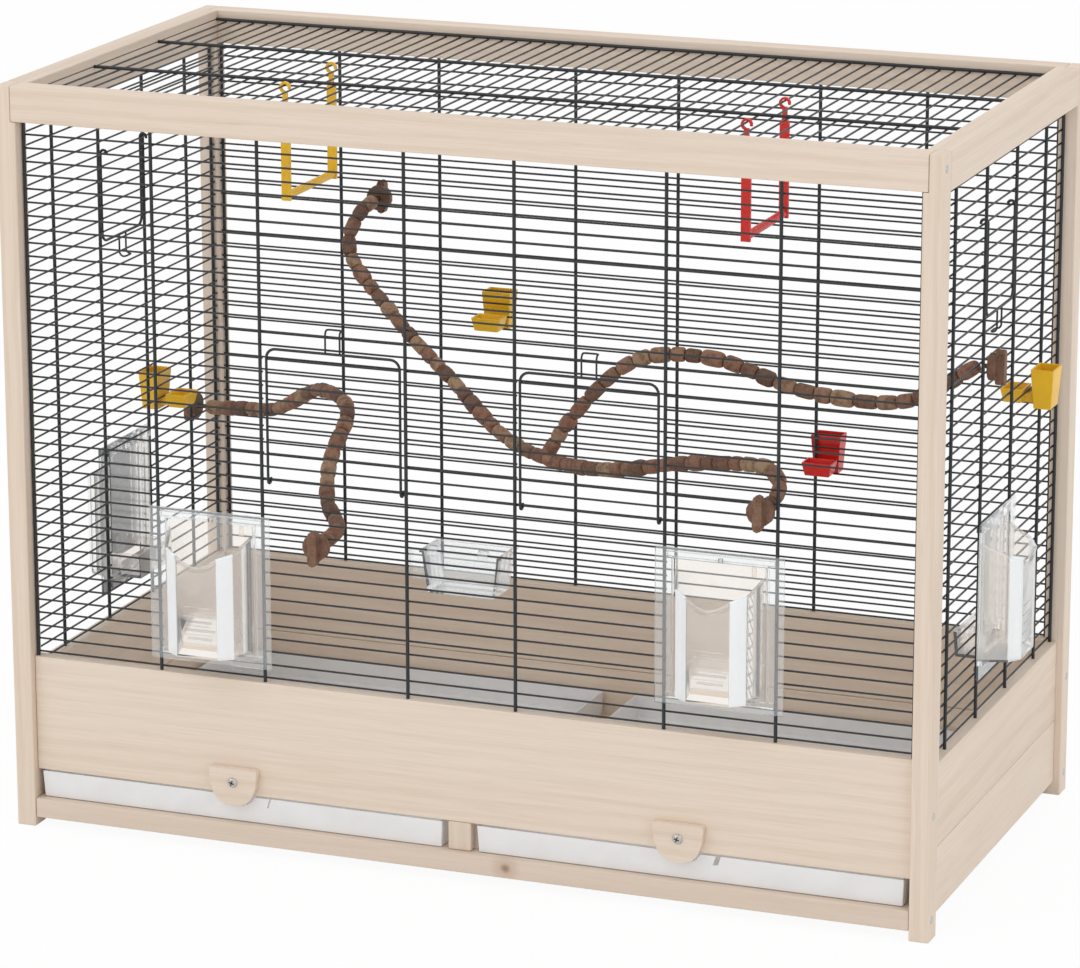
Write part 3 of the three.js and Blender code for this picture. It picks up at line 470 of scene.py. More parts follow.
# ---- Sizes and colours ----
class CageWood(bpy.types.PropertyGroup):
    """Planed pine of the frame"""
    edge_radius: FloatProperty(name="Edge radius", description="Rounding of the planed edges",
                               default=0.0011, unit="LENGTH")
    ring_scale: FloatProperty(name="Ring scale", description="Growth rings per metre", default=26.0)
    pine_colour: FloatVectorProperty(name="Pine", description="Early wood", subtype="COLOR",
                                     default=(0.80, 0.68, 0.565))
    grain_colour: FloatVectorProperty(name="Grain", description="Late wood", subtype="COLOR",
                                      default=(0.61, 0.47, 0.36))
    warm_colour: FloatVectorProperty(name="Warm patches", description="Slow change of tone",
                                     subtype="COLOR", default=(0.74, 0.60, 0.48))
    knot_colour: FloatVectorProperty(name="Knots", description="Knots and pores", subtype="COLOR",
                                     default=(0.30, 0.19, 0.12))
    # Painted shade: the darker colour that pieces lying in shade are pulled towards
    painted_shade_colour: FloatVectorProperty(name="Darker wood", description="Tone of the darker pieces",
                                      subtype="COLOR", default=(0.44, 0.32, 0.25))


class CageWires(bpy.types.PropertyGroup):
    """Pitch, number and coat of the wires"""
    first_row: FloatProperty(name="Lowest wire", description="Height of the front's lowest wire",
                             default=0.1532, unit="LENGTH")
    row_pitch: FloatProperty(name="Wire pitch", description="Distance between wires",
                             default=0.0114, unit="LENGTH")
    rows: IntProperty(name="Wires", description="Wires of the front grille", default=40)
    roof_pitch: FloatProperty(name="Roof pitch", description="Distance between roof wires",
                              default=0.01321, unit="LENGTH")
    roof_wires: IntProperty(name="Roof wires", description="Wires of the roof grille", default=58)
    wire_radius: FloatProperty(name="Wire radius", description="Radius of the thin wires",
                               default=0.00086, unit="LENGTH")
    wire_colour: FloatVectorProperty(name="Wire", description="Powder coat", subtype="COLOR",
                                     default=(0.012, 0.014, 0.017))
    worn_colour: FloatVectorProperty(name="Worn wire", description="Rubbed powder coat",
                                     subtype="COLOR", default=(0.045, 0.05, 0.056))


class CagePlastics(bpy.types.PropertyGroup):
    """Clear, pale and coloured plastics"""
    clear_colour: FloatVectorProperty(name="Clear", description="Feeders and hung cup",
                                      subtype="COLOR", default=(0.93, 0.95, 0.96))
    clear_veil: FloatProperty(name="Veil", description="Milkiness of clear walls seen head-on",
                              default=0.12)
    # Partly haze, partly painted reflection: how milky clear walls are made when seen at a slant
    slant_haze_and_sheen: FloatProperty(name="Edge veil", description="Milkiness seen at a slant",
                              default=0.42)
    # Painted glow: light given off by the milky walls of clear plastic, which are no lamp
    painted_glow: FloatProperty(name="Scattered light", description="Light held by the milky walls",
                              default=0.45)
    tray_colour: FloatVectorProperty(name="Trays", description="Droppings trays", subtype="COLOR",
                                     default=(0.82, 0.82, 0.82))
    yellow_colour: FloatVectorProperty(name="Yellow", description="Yellow swing and treat clips",
                                       subtype="COLOR", default=(0.89, 0.52, 0.012))
    red_colour: FloatVectorProperty(name="Red", description="Red swing and treat clip",
                                    subtype="COLOR", default=(0.72, 0.018, 0.010))


class CagePerches(bpy.types.PropertyGroup):
    """Wooden beads of the perches"""
    bead_length: FloatProperty(name="Bead length", description="Mean length of a bead",
                               default=0.0165, unit="LENGTH")
    bead_radius: FloatProperty(name="Bead radius", description="Mean radius of a bead",
                               default=0.0064, unit="LENGTH")
    dark_colour: FloatVectorProperty(name="Dark", description="Darkest beads", subtype="COLOR",
                                     default=(0.095, 0.044, 0.028))
    brown_colour: FloatVectorProperty(name="Brown", description="Brown beads", subtype="COLOR",
                                      default=(0.22, 0.112, 0.066))
    red_colour: FloatVectorProperty(name="Red brown", description="Red-brown beads",
                                    subtype="COLOR", default=(0.27, 0.120, 0.072))
    olive_colour: FloatVectorProperty(name="Olive", description="Palest beads", subtype="COLOR",
                                      default=(0.36, 0.24, 0.14))


class CageStage(bpy.types.PropertyGroup):
    """Lens, lamps and floor"""
    lens: FloatProperty(name="Lens", description="Focal length in millimetres", default=165.4,
                        unit="CAMERA")
    world_light: FloatProperty(name="World light", description="Even light from all round",
                               default=0.88)
    key_light: FloatProperty(name="Key light", description="Large lamp over the left front",
                             default=24.0)
    fill_light: FloatProperty(name="Fill light", description="Large lamp on the right",
                              default=9.0)
    floor_colour: FloatVectorProperty(name="Floor", description="Pale floor", subtype="COLOR",
                                      default=(0.95, 0.95, 0.95))


# ---- Operators ----
class CAGE_OT_stage(bpy.types.Operator):
    """Camera, lamps, world and floor"""
    bl_idname = "cage.stage"
    bl_label = "Stage"

    # The camera, solved from the corners of the posts and rails in the photograph
    EYE = (1.46234, -3.78052, 1.39980)
    RIGHT = (0.93229, 0.36172, -0.00137)
    UP = (-0.09444, 0.24708, 0.96438)
    SENSOR = 36.0
    FARTHEST = 60.0
    CLEAR_WALLS = 48  # clear walls that a ray may pass, one behind the other
    KEY_PLACE, KEY_SIZE = (-2.2, -2.6, 3.2), 2.6
    FILL_PLACE, FILL_SIZE = (3.0, -1.6, 1.9), 2.2
    LIT_POINT = (0.0, 0.0, 0.3)
    FLOOR_SIZE = 30.0
    FLOOR_DROP = 0.0006  # the floor lies this far under the feet
    FLOOR_WHITE = 0.94  # share of plain white in the floor that the camera sees

    def execute(self, context):
        scene = context.scene
        look = scene.cage_stage
        scene.view_settings.view_transform = "Standard"
        scene.cycles.transparent_max_bounces = self.CLEAR_WALLS
        camera = bpy.data.objects.new("camera", bpy.data.cameras.new("camera"))
        scene.collection.objects.link(camera)
        camera.data.lens = look.lens
        camera.data.sensor_width = self.SENSOR
        camera.data.clip_end = self.FARTHEST
        right, up = Vector(self.RIGHT), Vector(self.UP)
        turn = Matrix((right, up, right.cross(up))).transposed().to_4x4()
        camera.matrix_world = Matrix.Translation(self.EYE) @ turn
        scene.camera = camera

        self.lamp(scene, "key_lamp", self.KEY_PLACE, look.key_light, self.KEY_SIZE)
        self.lamp(scene, "fill_lamp", self.FILL_PLACE, look.fill_light, self.FILL_SIZE)
        self.world(scene, look)
        self.floor(scene, look)
        return {"FINISHED"}

    def lamp(self, scene, name, place, power, size):
        """A square lamp that faces the cage."""
        data = bpy.data.lights.new(name, "AREA")
        data.energy = power
        data.size = size
        lamp = bpy.data.objects.new(name, data)
        scene.collection.objects.link(lamp)
        lamp.location = place
        lamp.rotation_mode = "QUATERNION"
        lamp.rotation_quaternion = (Vector(self.LIT_POINT) - lamp.location).to_track_quat("-Z", "Y")

    def world(self, scene, look):
        """White for what the camera and glossy rays see, and a plain level of light otherwise."""
        world = bpy.data.worlds.new("studio")
        world.use_nodes = True
        scene.world = world
        tree = world.node_tree
        tree.nodes.clear()
        path = tree.nodes.new("ShaderNodeLightPath")
        seen = tree.nodes.new("ShaderNodeMath")
        seen.operation = "MAXIMUM"
        bright = tree.nodes.new("ShaderNodeMath")
        bright.operation = "MAXIMUM"
        tree.links.new(path.outputs["Is Transmission Ray"], bright.inputs[0])
        tree.links.new(path.outputs["Is Glossy Ray"], bright.inputs[1])
        tree.links.new(path.outputs["Is Camera Ray"], seen.inputs[0])
        tree.links.new(bright.outputs[0], seen.inputs[1])
        strength = tree.nodes.new("ShaderNodeMapRange")
        strength.inputs["To Min"].default_value = look.world_light
        strength.inputs["To Max"].default_value = 1.0
        tree.links.new(seen.outputs[0], strength.inputs["Value"])
        sky = tree.nodes.new("ShaderNodeBackground")
        sky.inputs["Color"].default_value = WHITE
        tree.links.new(strength.outputs[0], sky.inputs["Strength"])
        out = tree.nodes.new("ShaderNodeOutputWorld")
        tree.links.new(sky.outputs[0], out.inputs["Surface"])

    def floor(self, scene, look):
        """A wide pale floor that is white to the camera and keeps a soft shadow."""
        bm = bmesh.new()
        bmesh.ops.create_grid(bm, x_segments=1, y_segments=1, size=self.FLOOR_SIZE)
        bmesh.ops.translate(bm, vec=(0, 0, -self.FLOOR_DROP), verts=bm.verts)
        mesh = bpy.data.meshes.new("floor")
        bm.to_mesh(mesh)
        bm.free()
        floor = bpy.data.objects.new("floor", mesh)
        scene.collection.objects.link(floor)
        finish = Finish("pale_floor")
        path = finish.node("ShaderNodeLightPath", output="Is Camera Ray").most(
            finish.node("ShaderNodeLightPath", output="Is Glossy Ray"))
        speck = finish.spread(finish.grain(finish.place(), 3.0, 2.0), 0.3, 0.7, 0.0, 1.0)
        tone = finish.mix(speck, look.floor_colour, (0.96, 0.96, 0.96))
        matt = finish.node("ShaderNodeBsdfDiffuse", {}, {"Color": tone})
        white = finish.node("ShaderNodeEmission", {}, {"Color": WHITE, "Strength": 1.0})
        mesh.materials.append(finish.ended(finish.node("ShaderNodeMixShader", {}, {
            0: path * self.FLOOR_WHITE, 1: matt, 2: white})))


class CAGE_OT_wood(bpy.types.Operator):
    """Posts, rails, boards and runners of planed pine"""
    bl_idname = "cage.wood"
    bl_label = "Wooden frame"

    # Middle and radius of each knot, in metres
    KNOTS = {
        "front_bottom_rail": (((0.042, -0.204, 0.0165), 0.0075),),
        "side_board_right_lower": (((0.405, -0.062, 0.086), 0.004), ((0.405, 0.118, 0.060), 0.004)),
        "side_board_right_upper": (((0.405, 0.012, 0.126), 0.0035),),
    }
    # Painted shade: how far each piece that lies in shade is pulled towards the darker colour
    PAINTED_SHADES = {"front_bottom_rail": 0.22, "slot_divider": 0.12, "top_rail_left": 0.1}
    # Screw heads in the posts, in millimetres
    SCREW_X, SCREW_Y, SCREW_Z = 405.1, (-198.0, 197.0), (628.0, 105.0, 18.0)
    SCREW_HEAD = {"radius1": 3.4, "radius2": 2.9, "depth": 0.9}

    def execute(self, context):
        width = context.scene.cage_wood.edge_radius / MM
        names = sorted(n for n in NODES if node_slot(n) == "pine")
        for seed, name in enumerate(names):
            low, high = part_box(name)
            size = high - low
            axis = "XYZ"[max(range(3), key=lambda i: size[i])]
            material = finish_once(f"pine_{name}", pine, axis, seed + 1.0, self.KNOTS.get(name, ()),
                                   self.PAINTED_SHADES.get(name, 0.0))
            eased_node(name, material, width, 3)
        self.screws()
        return {"FINISHED"}

    def screws(self):
        """Countersunk screws in the outer faces of the posts."""
        bm = bmesh.new()
        for side in (-1, 1):
            turn = Matrix.Rotation(side * math.pi / 2, 4, "Y")
            for y in self.SCREW_Y:
                for z in self.SCREW_Z:
                    bmesh.ops.create_cone(
                        bm, cap_ends=True, segments=20, **self.SCREW_HEAD,
                        matrix=Matrix.Translation((side * self.SCREW_X, y, z)) @ turn)
        piece("post_screws", bm, finish_once("zinc", zinc), slot="screw_steel")


def grille_rows(first, last, openings):
    """Heights of a grille's wires, each with the stretches that its openings take out."""
    return [(row_height(row), [cut for low, high, cut in openings if low <= row <= high])
            for row in range(first, last)]


def grille(wall, rods, edge, rows):
    """A welded grille: round rods outside and thin wires on their inner side."""
    thin = bpy.context.scene.cage_wires.wire_radius / MM
    low, high = ROD_ENDS[wall]
    bm = bmesh.new()
    for x in (-edge, *rods, edge):
        add_bar(bm, (x, 0, low), (x, 0, high), ROD_RADIUS, ROD_SIDES)
    for at, cuts in rows:
        start = -edge - ROD_RADIUS
        for left, right in sorted(cuts):
            add_bar(bm, (start, WIRE_AXIS, at), (left + WIRE_LAP, WIRE_AXIS, at), thin)
            start = right - WIRE_LAP
        add_bar(bm, (start, WIRE_AXIS, at), (edge + ROD_RADIUS, WIRE_AXIS, at), thin)
    to_wall(bm, wall)
    piece(f"mesh_{wall}_wires", bm, finish_once("black_wire", black_wire),
          replaces=(f"mesh_{wall}",), slot="wire")


class CAGE_OT_grilles(bpy.types.Operator):
    """Four wall grilles and the roof grille"""
    bl_idname = "cage.grilles"
    bl_label = "Grilles"

    # The first and last wire that each feeder or door takes out, and the rods beside it
    OPENINGS = {
        "front": ((2, 11, FRONT_RODS[0:2]), (3, 12, FRONT_RODS[4:6]), (16, 24, FRONT_RODS[1:3]),
                  (16, 24, FRONT_RODS[3:5])),
        "rear": (),
        "left": ((2, 11, SIDE_RODS[1:3]), (29, 34, SIDE_RODS[1:3])),
        "right": ((3, 12, SIDE_RODS[1:3]), (29, 34, SIDE_RODS[1:3])),
    }
    BORDER_X = 386.4

    def execute(self, context):
        wires = context.scene.cage_wires
        for wall, openings in self.OPENINGS.items():
            wide = wall in ("front", "rear")
            first = 0 if wall == "front" else -1
            grille(wall, FRONT_RODS if wide else SIDE_RODS, FRONT_EDGE if wide else SIDE_EDGE,
                   grille_rows(first, wires.rows, openings))
        middle = (wires.roof_wires - 1) / 2
        grille("roof", ROOF_RODS, SIDE_EDGE, [((i - middle) * wires.roof_pitch / MM, ())
                                              for i in range(wires.roof_wires)])
        border = bmesh.new()
        for x in (-self.BORDER_X, self.BORDER_X):
            add_bar(border, (x, -SIDE_EDGE, ROOF_PLANE), (x, SIDE_EDGE, ROOF_PLANE), ROD_RADIUS,
                    ROD_SIDES)
        piece("roof_border", border, finish_once("black_wire", black_wire), slot="wire")
        return {"FINISHED"}


class CAGE_OT_doors(bpy.types.Operator):
    """Wire doors: a bent frame, thin bars, curled eyes and a latch loop"""
    bl_idname = "cage.doors"
    bl_label = "Doors"

    # Wall, middle, width, hinge wire, own bars, and the wire that the free end stops short of
    DOORS = {
        "door_front_left": ("front", -111.25, 120.5, 15, range(16, 25), 25),
        "door_front_right": ("front", 111.25, 120.5, 15, range(16, 25), 25),
        "door_left": ("left", 0.0, 80.0, 35, range(29, 35), 28),
        "door_right": ("right", 0.0, 80.0, 35, range(29, 35), 28),
    }
    FRAME_RADIUS = 1.2
    HINGE_AXIS = 2.8  # the hinge wire's axis behind the rods' axes
    EYE = 3.0  # radius of a curled eye to the middle of its wire
    BAR_SET_IN = 1.0  # the bars lie this far behind the middle of the frame
    CORNER = 8.0
    CORNER_STEPS = 5
    STOPS_SHORT = 2.4
    # The latch loop: its length, its half width, the radius of its bend and its nose's reach
    LOOP = 18.2
    LOOP_HALF = 6.4
    LOOP_BEND = 4.0
    NOSE_TURN, NOSE_REACH = (1.2, 4.9), (3.0, 5.2)

    def execute(self, context):
        for name, (wall, centre, width, hinge_row, bars, stop) in self.DOORS.items():
            up = 1.0 if stop > hinge_row else -1.0
            self.door(name, wall, centre, width, row_height(hinge_row), bars,
                      row_height(stop) - up * self.STOPS_SHORT, up)
        return {"FINISHED"}

    def door(self, name, wall, centre, width, hinge, bars, free, up):
        """Draws one door in its wall's frame, from the hinge towards the free end."""
        thin = bpy.context.scene.cage_wires.wire_radius / MM
        half = width / 2 - self.FRAME_RADIUS
        plane = self.HINGE_AXIS - self.EYE
        bend, steps = self.CORNER, self.CORNER_STEPS
        across, over, along = (1, 0, 0), (0, 1, 0), (0, 0, up)
        path = arc((centre - half, self.HINGE_AXIS, hinge), self.EYE, 20, -180, 10, over, along)
        path += arc((centre - half + bend, plane, free - up * bend), bend, 180, 90, steps,
                    across, along)
        path += arc((centre + half - bend, plane, free - up * bend), bend, 90, 0, steps,
                    across, along)
        path += arc((centre + half, self.HINGE_AXIS, hinge), self.EYE, -180, 20, 10, over, along)
        bm = bmesh.new()
        add_bent_wire(bm, path, self.FRAME_RADIUS)
        for row in bars:
            y, z = plane + self.BAR_SET_IN, row_height(row)
            add_bar(bm, (centre - half, y, z), (centre + half, y, z), thin)
        self.latch(bm, centre, plane, free, up, thin)
        to_wall(bm, wall)
        piece(f"{name}_wires", bm, finish_once("black_wire", black_wire), body=name,
              replaces=(name,), slot="wire")

    def latch(self, bm, centre, y, free, up, thin):
        """The springy loop: up from the free end, and bent in over a wire of the cage."""
        bend, steps = self.LOOP_BEND, self.CORNER_STEPS
        tip = free + up * self.LOOP + up * 1.0
        over, along = (0, 1, 0), (0, 0, up)
        left, right = centre - self.LOOP_HALF, centre + self.LOOP_HALF
        path = [(left, y, free), (left, y, tip - up * (bend + 0.5))]
        path += arc((left, y + bend, tip - up * bend), bend, 180, 90, steps, over, along)
        path += [(left + x, y + reach, tip) for x, reach in (self.NOSE_TURN, self.NOSE_REACH)]
        path += [(right - x, y + reach, tip) for x, reach in (self.NOSE_REACH, self.NOSE_TURN)]
        path += arc((right, y + bend, tip - up * bend), bend, 90, 180, steps, over, along)
        path += [(right, y, tip - up * (bend + 0.5)), (right, y, free)]
        add_bent_wire(bm, path, thin)


class CAGE_OT_feeders(bpy.types.Operator):
    """Revolving feeders of clear plastic: flanged frames and bodies with a bowed seed bay"""
    bl_idname = "cage.feeders"
    bl_label = "Feeders"

    # Wall, middle and the wire under each feeder
    PLACES = {
        "front_left": ("front", -223.5, 1),
        "left": ("left", 0.0, 1),
        "front_right": ("front", 223.5, 2),
        "right": ("right", 0.0, 2),
    }
    ABOVE_WIRE = 8.3  # the body's floor over that wire
    PLATE_FACE = -1.52  # the outer face of the body's plate
    # Half plan of the bay outside the plate, from the plate to the corner of its front
    PLAN = ((37.0, -1.0), (30.0, -22.8), (18.6, -30.4))
    FRONT = PLAN[-1][1]
    FLOOR = 0.8
    LIP = 87.0  # height of the front's lip
    CHEEK = 101.0  # height of the bay's sides at the plate
    DIP = 8.5  # how far the lip hangs in its middle
    LIP_CUTS = 9
    THICK = 1.6
    # Height and half length of the level lines
    LEVELS = ((13, 11), (21, 14), (29, 11), (37, 14), (45, 11))
    RIB_PLACE, RIB_SIZE = (29, -2.3, 106), (3.4, 2.0, 7.6, 1.0)
    BODY_CREASE = 18.0
    WARM_TINT = (0.985, 0.955, 0.925, 1.0)
    # Painted reflection: how milky white the bevels beside the front are made, in place of
    # reflected white surroundings
    FROST = 0.8

    def execute(self, context):
        clear = finish_once("clear_plastic", clear_plastic)
        warm = finish_once("hopper_plastic", clear_plastic, self.WARM_TINT)
        for place, (wall, x, wire) in self.PLACES.items():
            eased_node(f"feeder_frame_{place}", clear, 0.6)
            self.body(f"feeder_{place}", wall, x, row_height(wire) + self.ABOVE_WIRE, warm)
        return {"FINISHED"}

    def body(self, node, wall, x, floor, material):
        """Keeps the plate and trough of the CAD node and gives it a finer seed bay."""
        home = WALLS[wall] @ Matrix.Translation((x, 0, floor))
        bm = merged_node(node)
        bmesh.ops.scale(bm, vec=(1 / MM, 1 / MM, 1 / MM), verts=bm.verts)
        bmesh.ops.transform(bm, matrix=home.inverted(), verts=bm.verts)
        bmesh.ops.bisect_plane(bm, geom=[*bm.verts, *bm.edges, *bm.faces], dist=0.001,
                               plane_co=(0, self.PLATE_FACE, 0), plane_no=(0, -1, 0),
                               clear_outer=True)
        bmesh.ops.holes_fill(bm, edges=[e for e in bm.edges if e.is_boundary], sides=0)
        ease_edges(bm, 0.5)
        self.bay(bm)
        self.marks(bm)
        # Painted reflection: the bevels beside the front take a milky white finish that stands in
        # for reflected white surroundings
        bevel, corner = self.PLAN[1:]
        for face in bm.faces:
            spot = face.calc_center_median()
            if corner[0] < abs(spot.x) < bevel[0] and spot.y < bevel[1]:
                face.material_index = 1  # the bevels beside the front, made milky white as a painted reflection
        bmesh.ops.transform(bm, matrix=home, verts=bm.verts)
        made = piece(f"{node}_finished", bm, material, node, (node,), "clear_plastic",
                     self.BODY_CREASE)
        made.data.materials.append(finish_once("frosted_plastic", clear_plastic, WHITE, self.FROST))

    def bay(self, bm):
        """The bowed bay: walls drawn up from a floor, cut to a slope and given thickness."""
        shell = bmesh.new()
        outline = [(-x, y) for x, y in self.PLAN] + [(x, y) for x, y in reversed(self.PLAN)]
        floor = shell.faces.new([shell.verts.new((x, y, self.FLOOR)) for x, y in outline])
        root = self.PLAN[0][1]
        rims = [e for e in floor.edges if any(v.co.y < root - 0.1 for v in e.verts)]
        grown = bmesh.ops.extrude_edge_only(shell, edges=rims)["geom"]
        bmesh.ops.translate(shell, vec=(0, 0, self.CHEEK), verts=moved_points(grown))
        slope = Vector((0, self.LIP - self.CHEEK, -self.FRONT)).normalized()
        bmesh.ops.bisect_plane(shell, geom=[*shell.verts, *shell.edges, *shell.faces], dist=0.001,
                               plane_co=(0, self.FRONT, self.LIP), plane_no=slope,
                               clear_outer=True)
        lip = [e for e in shell.edges if e.is_boundary and all(map(self.on_lip, e.verts))]
        bmesh.ops.subdivide_edges(shell, edges=lip, cuts=self.LIP_CUTS)
        for vert in filter(self.on_lip, shell.verts):
            vert.co.z -= self.dip(vert.co.x)
        bmesh.ops.recalc_face_normals(shell, faces=shell.faces)
        bmesh.ops.solidify(shell, geom=list(shell.faces), thickness=self.THICK)
        mesh = bpy.data.meshes.new("bay")
        shell.to_mesh(mesh)
        shell.free()
        bm.from_mesh(mesh)
        bpy.data.meshes.remove(mesh)

    def on_lip(self, vert):
        """Whether a point lies on the front's upper edge."""
        return vert.co.y < self.FRONT + 0.1 and vert.co.z > self.LIP / 2

    def dip(self, x):
        """How far the lip hangs at a distance from the middle."""
        return self.DIP * max(0.0, 1.0 - (x / self.PLAN[-1][0]) ** 2)

    def marks(self, bm):
        """Beads along the lip and cheeks, level lines, corner ribs and a finger rib."""
        slope = (self.CHEEK - self.LIP) / -self.FRONT
        side = [(x, y, self.LIP + (y - self.FRONT) * slope) for x, y in self.PLAN]
        lip = [(x, self.FRONT, self.LIP - self.dip(x)) for x in range(18, -19, -2)]
        mirrored = [(-x, y, z) for x, y, z in reversed(side)]
        add_bent_wire(bm, [*side, *lip, *mirrored], 1.3)
        add_bent_wire(bm, [(x, y + 0.6, z - 3.4) for x, y, z in lip], 0.7)
        for height, half in self.LEVELS:
            add_bar(bm, (-half, self.FRONT - 0.1, height), (half, self.FRONT - 0.1, height), 0.6, 6)
        for x in (-self.PLAN[-1][0], self.PLAN[-1][0]):
            add_bar(bm, (x, self.FRONT + 0.6, 2), (x, self.FRONT + 0.6, self.LIP - 1), 0.9)
        bmesh.ops.create_cube(bm, size=1.0, matrix=Matrix.Translation(self.RIB_PLACE) @
                              Matrix.Diagonal(self.RIB_SIZE))


class CAGE_OT_hung_cup(bpy.types.Operator):
    """The clear cup hung inside the front grille"""
    bl_idname = "cage.hung_cup"
    bl_label = "Hung cup"

    def execute(self, context):
        eased_node("hanging_cup", finish_once("clear_plastic", clear_plastic), 0.5)
        return {"FINISHED"}


class CAGE_OT_trays(bpy.types.Operator):
    """Two pale droppings trays"""
    bl_idname = "cage.trays"
    bl_label = "Trays"

    # Outline of the wall on one side of a button: distance from the button's middle, and height
    CUT = ((6.5, 39.2), (27.6, 39.2), (30.6, 48.25), (17.7, 48.25), (14.3, 43.9), (11.1, 41.9),
           (7.7, 40.8))
    SLOPE = 1.2 / 22.8  # how far the front wall leans out, over its height
    THICK = 2.0
    PROUD = 0.04  # how far the lips stand before the wall

    def execute(self, context):
        tone = context.scene.cage_plastics.tray_colour
        material = finish_once("tray_plastic", moulded, tone, tuple(v * 0.93 for v in tone), 0.42)
        for side in ("left", "right"):
            eased_node(f"tray_{side}", material, 0.8, 3)
            self.lips(side, material)
        return {"FINISHED"}

    def lips(self, side, material):
        """The front wall on both sides of the button, cut to the button's outline."""
        low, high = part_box(f"tray_{side}")
        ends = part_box(f"turn_button_{side}")
        centre = (ends[0].x + ends[1].x) / 2 / MM
        bm = bmesh.new()
        front = low.y / MM - self.PROUD
        for way in (-1, 1):
            wall = bm.faces.new([
                bm.verts.new((centre + way * x, front + (high.z / MM - z) * self.SLOPE, z))
                for x, z in self.CUT])
            block = bmesh.ops.extrude_face_region(bm, geom=[wall])["geom"]
            bmesh.ops.translate(bm, vec=(0, self.THICK, 0), verts=moved_points(block))
        bmesh.ops.recalc_face_normals(bm, faces=bm.faces)
        piece(f"tray_lips_{side}", bm, material, body=f"tray_{side}", slot="tray_plastic")


class CAGE_OT_turn_buttons(bpy.types.Operator):
    """Wooden turn buttons and their pivot screws"""
    bl_idname = "cage.turn_buttons"
    bl_label = "Turn buttons"

    CROSS_TURN = 0.35
    CROSS_BAR = (4.6, 0.5, 1.0, 1.0)
    CROSS_DEPTH = 0.2

    def execute(self, context):
        for seed, side in enumerate(("left", "right")):
            wood = finish_once(f"button_{side}", pine, "X", 31.0 + seed)
            eased_node(f"turn_button_{side}", wood, 0.9, 3)
            eased_node(f"turn_button_screw_{side}", finish_once("zinc", zinc), 0.25)
            self.cross(side)
        return {"FINISHED"}

    def cross(self, side):
        """Dark boxes of painted shade on a screw head, in the shape of its cross recess."""
        low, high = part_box(f"turn_button_screw_{side}")
        place = Matrix.Translation(((low.x + high.x) / 2 / MM, low.y / MM + self.CROSS_DEPTH,
                                    (low.z + high.z) / 2 / MM))
        bm = bmesh.new()
        for turn in (self.CROSS_TURN, self.CROSS_TURN + math.pi / 2):
            bmesh.ops.create_cube(bm, size=1.0, matrix=place @ Matrix.Rotation(turn, 4, "Y") @
                                  Matrix.Diagonal(self.CROSS_BAR))
        # Painted shade: a near-black finish stands in for the shade inside the cross recess
        dark = finish_once("recess", moulded, (0.05, 0.045, 0.04), (0.03, 0.03, 0.03), 0.6)
        piece(f"screw_cross_{side}", bm, dark, body=node_body(f"turn_button_screw_{side}"),
              slot="screw_steel")


class CAGE_OT_swings(bpy.types.Operator):
    """Two moulded swings hooked on the roof rods"""
    bl_idname = "cage.swings"
    bl_label = "Swings"

    def execute(self, context):
        for name in ("yellow", "red"):
            eased_node(f"swing_{name}", coloured_plastic(name), 0.45)
        return {"FINISHED"}


CURVE_STEPS = 24


def smooth_path(points, spacing):
    """Points at even spacing on a smooth curve through the given points."""
    points = [Vector(p) for p in points]
    line = [2 * points[0] - points[1], *points, 2 * points[-1] - points[-2]]
    dense = []
    for a, b, c, d in zip(line, line[1:], line[2:], line[3:]):
        ta = 0.0
        tb = ta + (b - a).length ** 0.5
        tc = tb + (c - b).length ** 0.5
        td = tc + (d - c).length ** 0.5
        for k in range(CURVE_STEPS):
            t = tb + (tc - tb) * k / CURVE_STEPS
            ab = a * ((tb - t) / (tb - ta)) + b * ((t - ta) / (tb - ta))
            bc = b * ((tc - t) / (tc - tb)) + c * ((t - tb) / (tc - tb))
            cd = c * ((td - t) / (td - tc)) + d * ((t - tc) / (td - tc))
            abc = ab * ((tc - t) / (tc - ta)) + bc * ((t - ta) / (tc - ta))
            bcd = bc * ((td - t) / (td - tb)) + cd * ((t - tb) / (td - tb))
            dense.append(abc * ((tc - t) / (tc - tb)) + bcd * ((t - tb) / (tc - tb)))
    dense.append(points[-1])
    even = [dense[0]]
    left = spacing
    for start, end in zip(dense, dense[1:]):
        step = (end - start).length
        done = 0.0
        while step - done >= left:
            done += left
            even.append(start.lerp(end, done / step))
            left = spacing
        left -= step - done
    return even


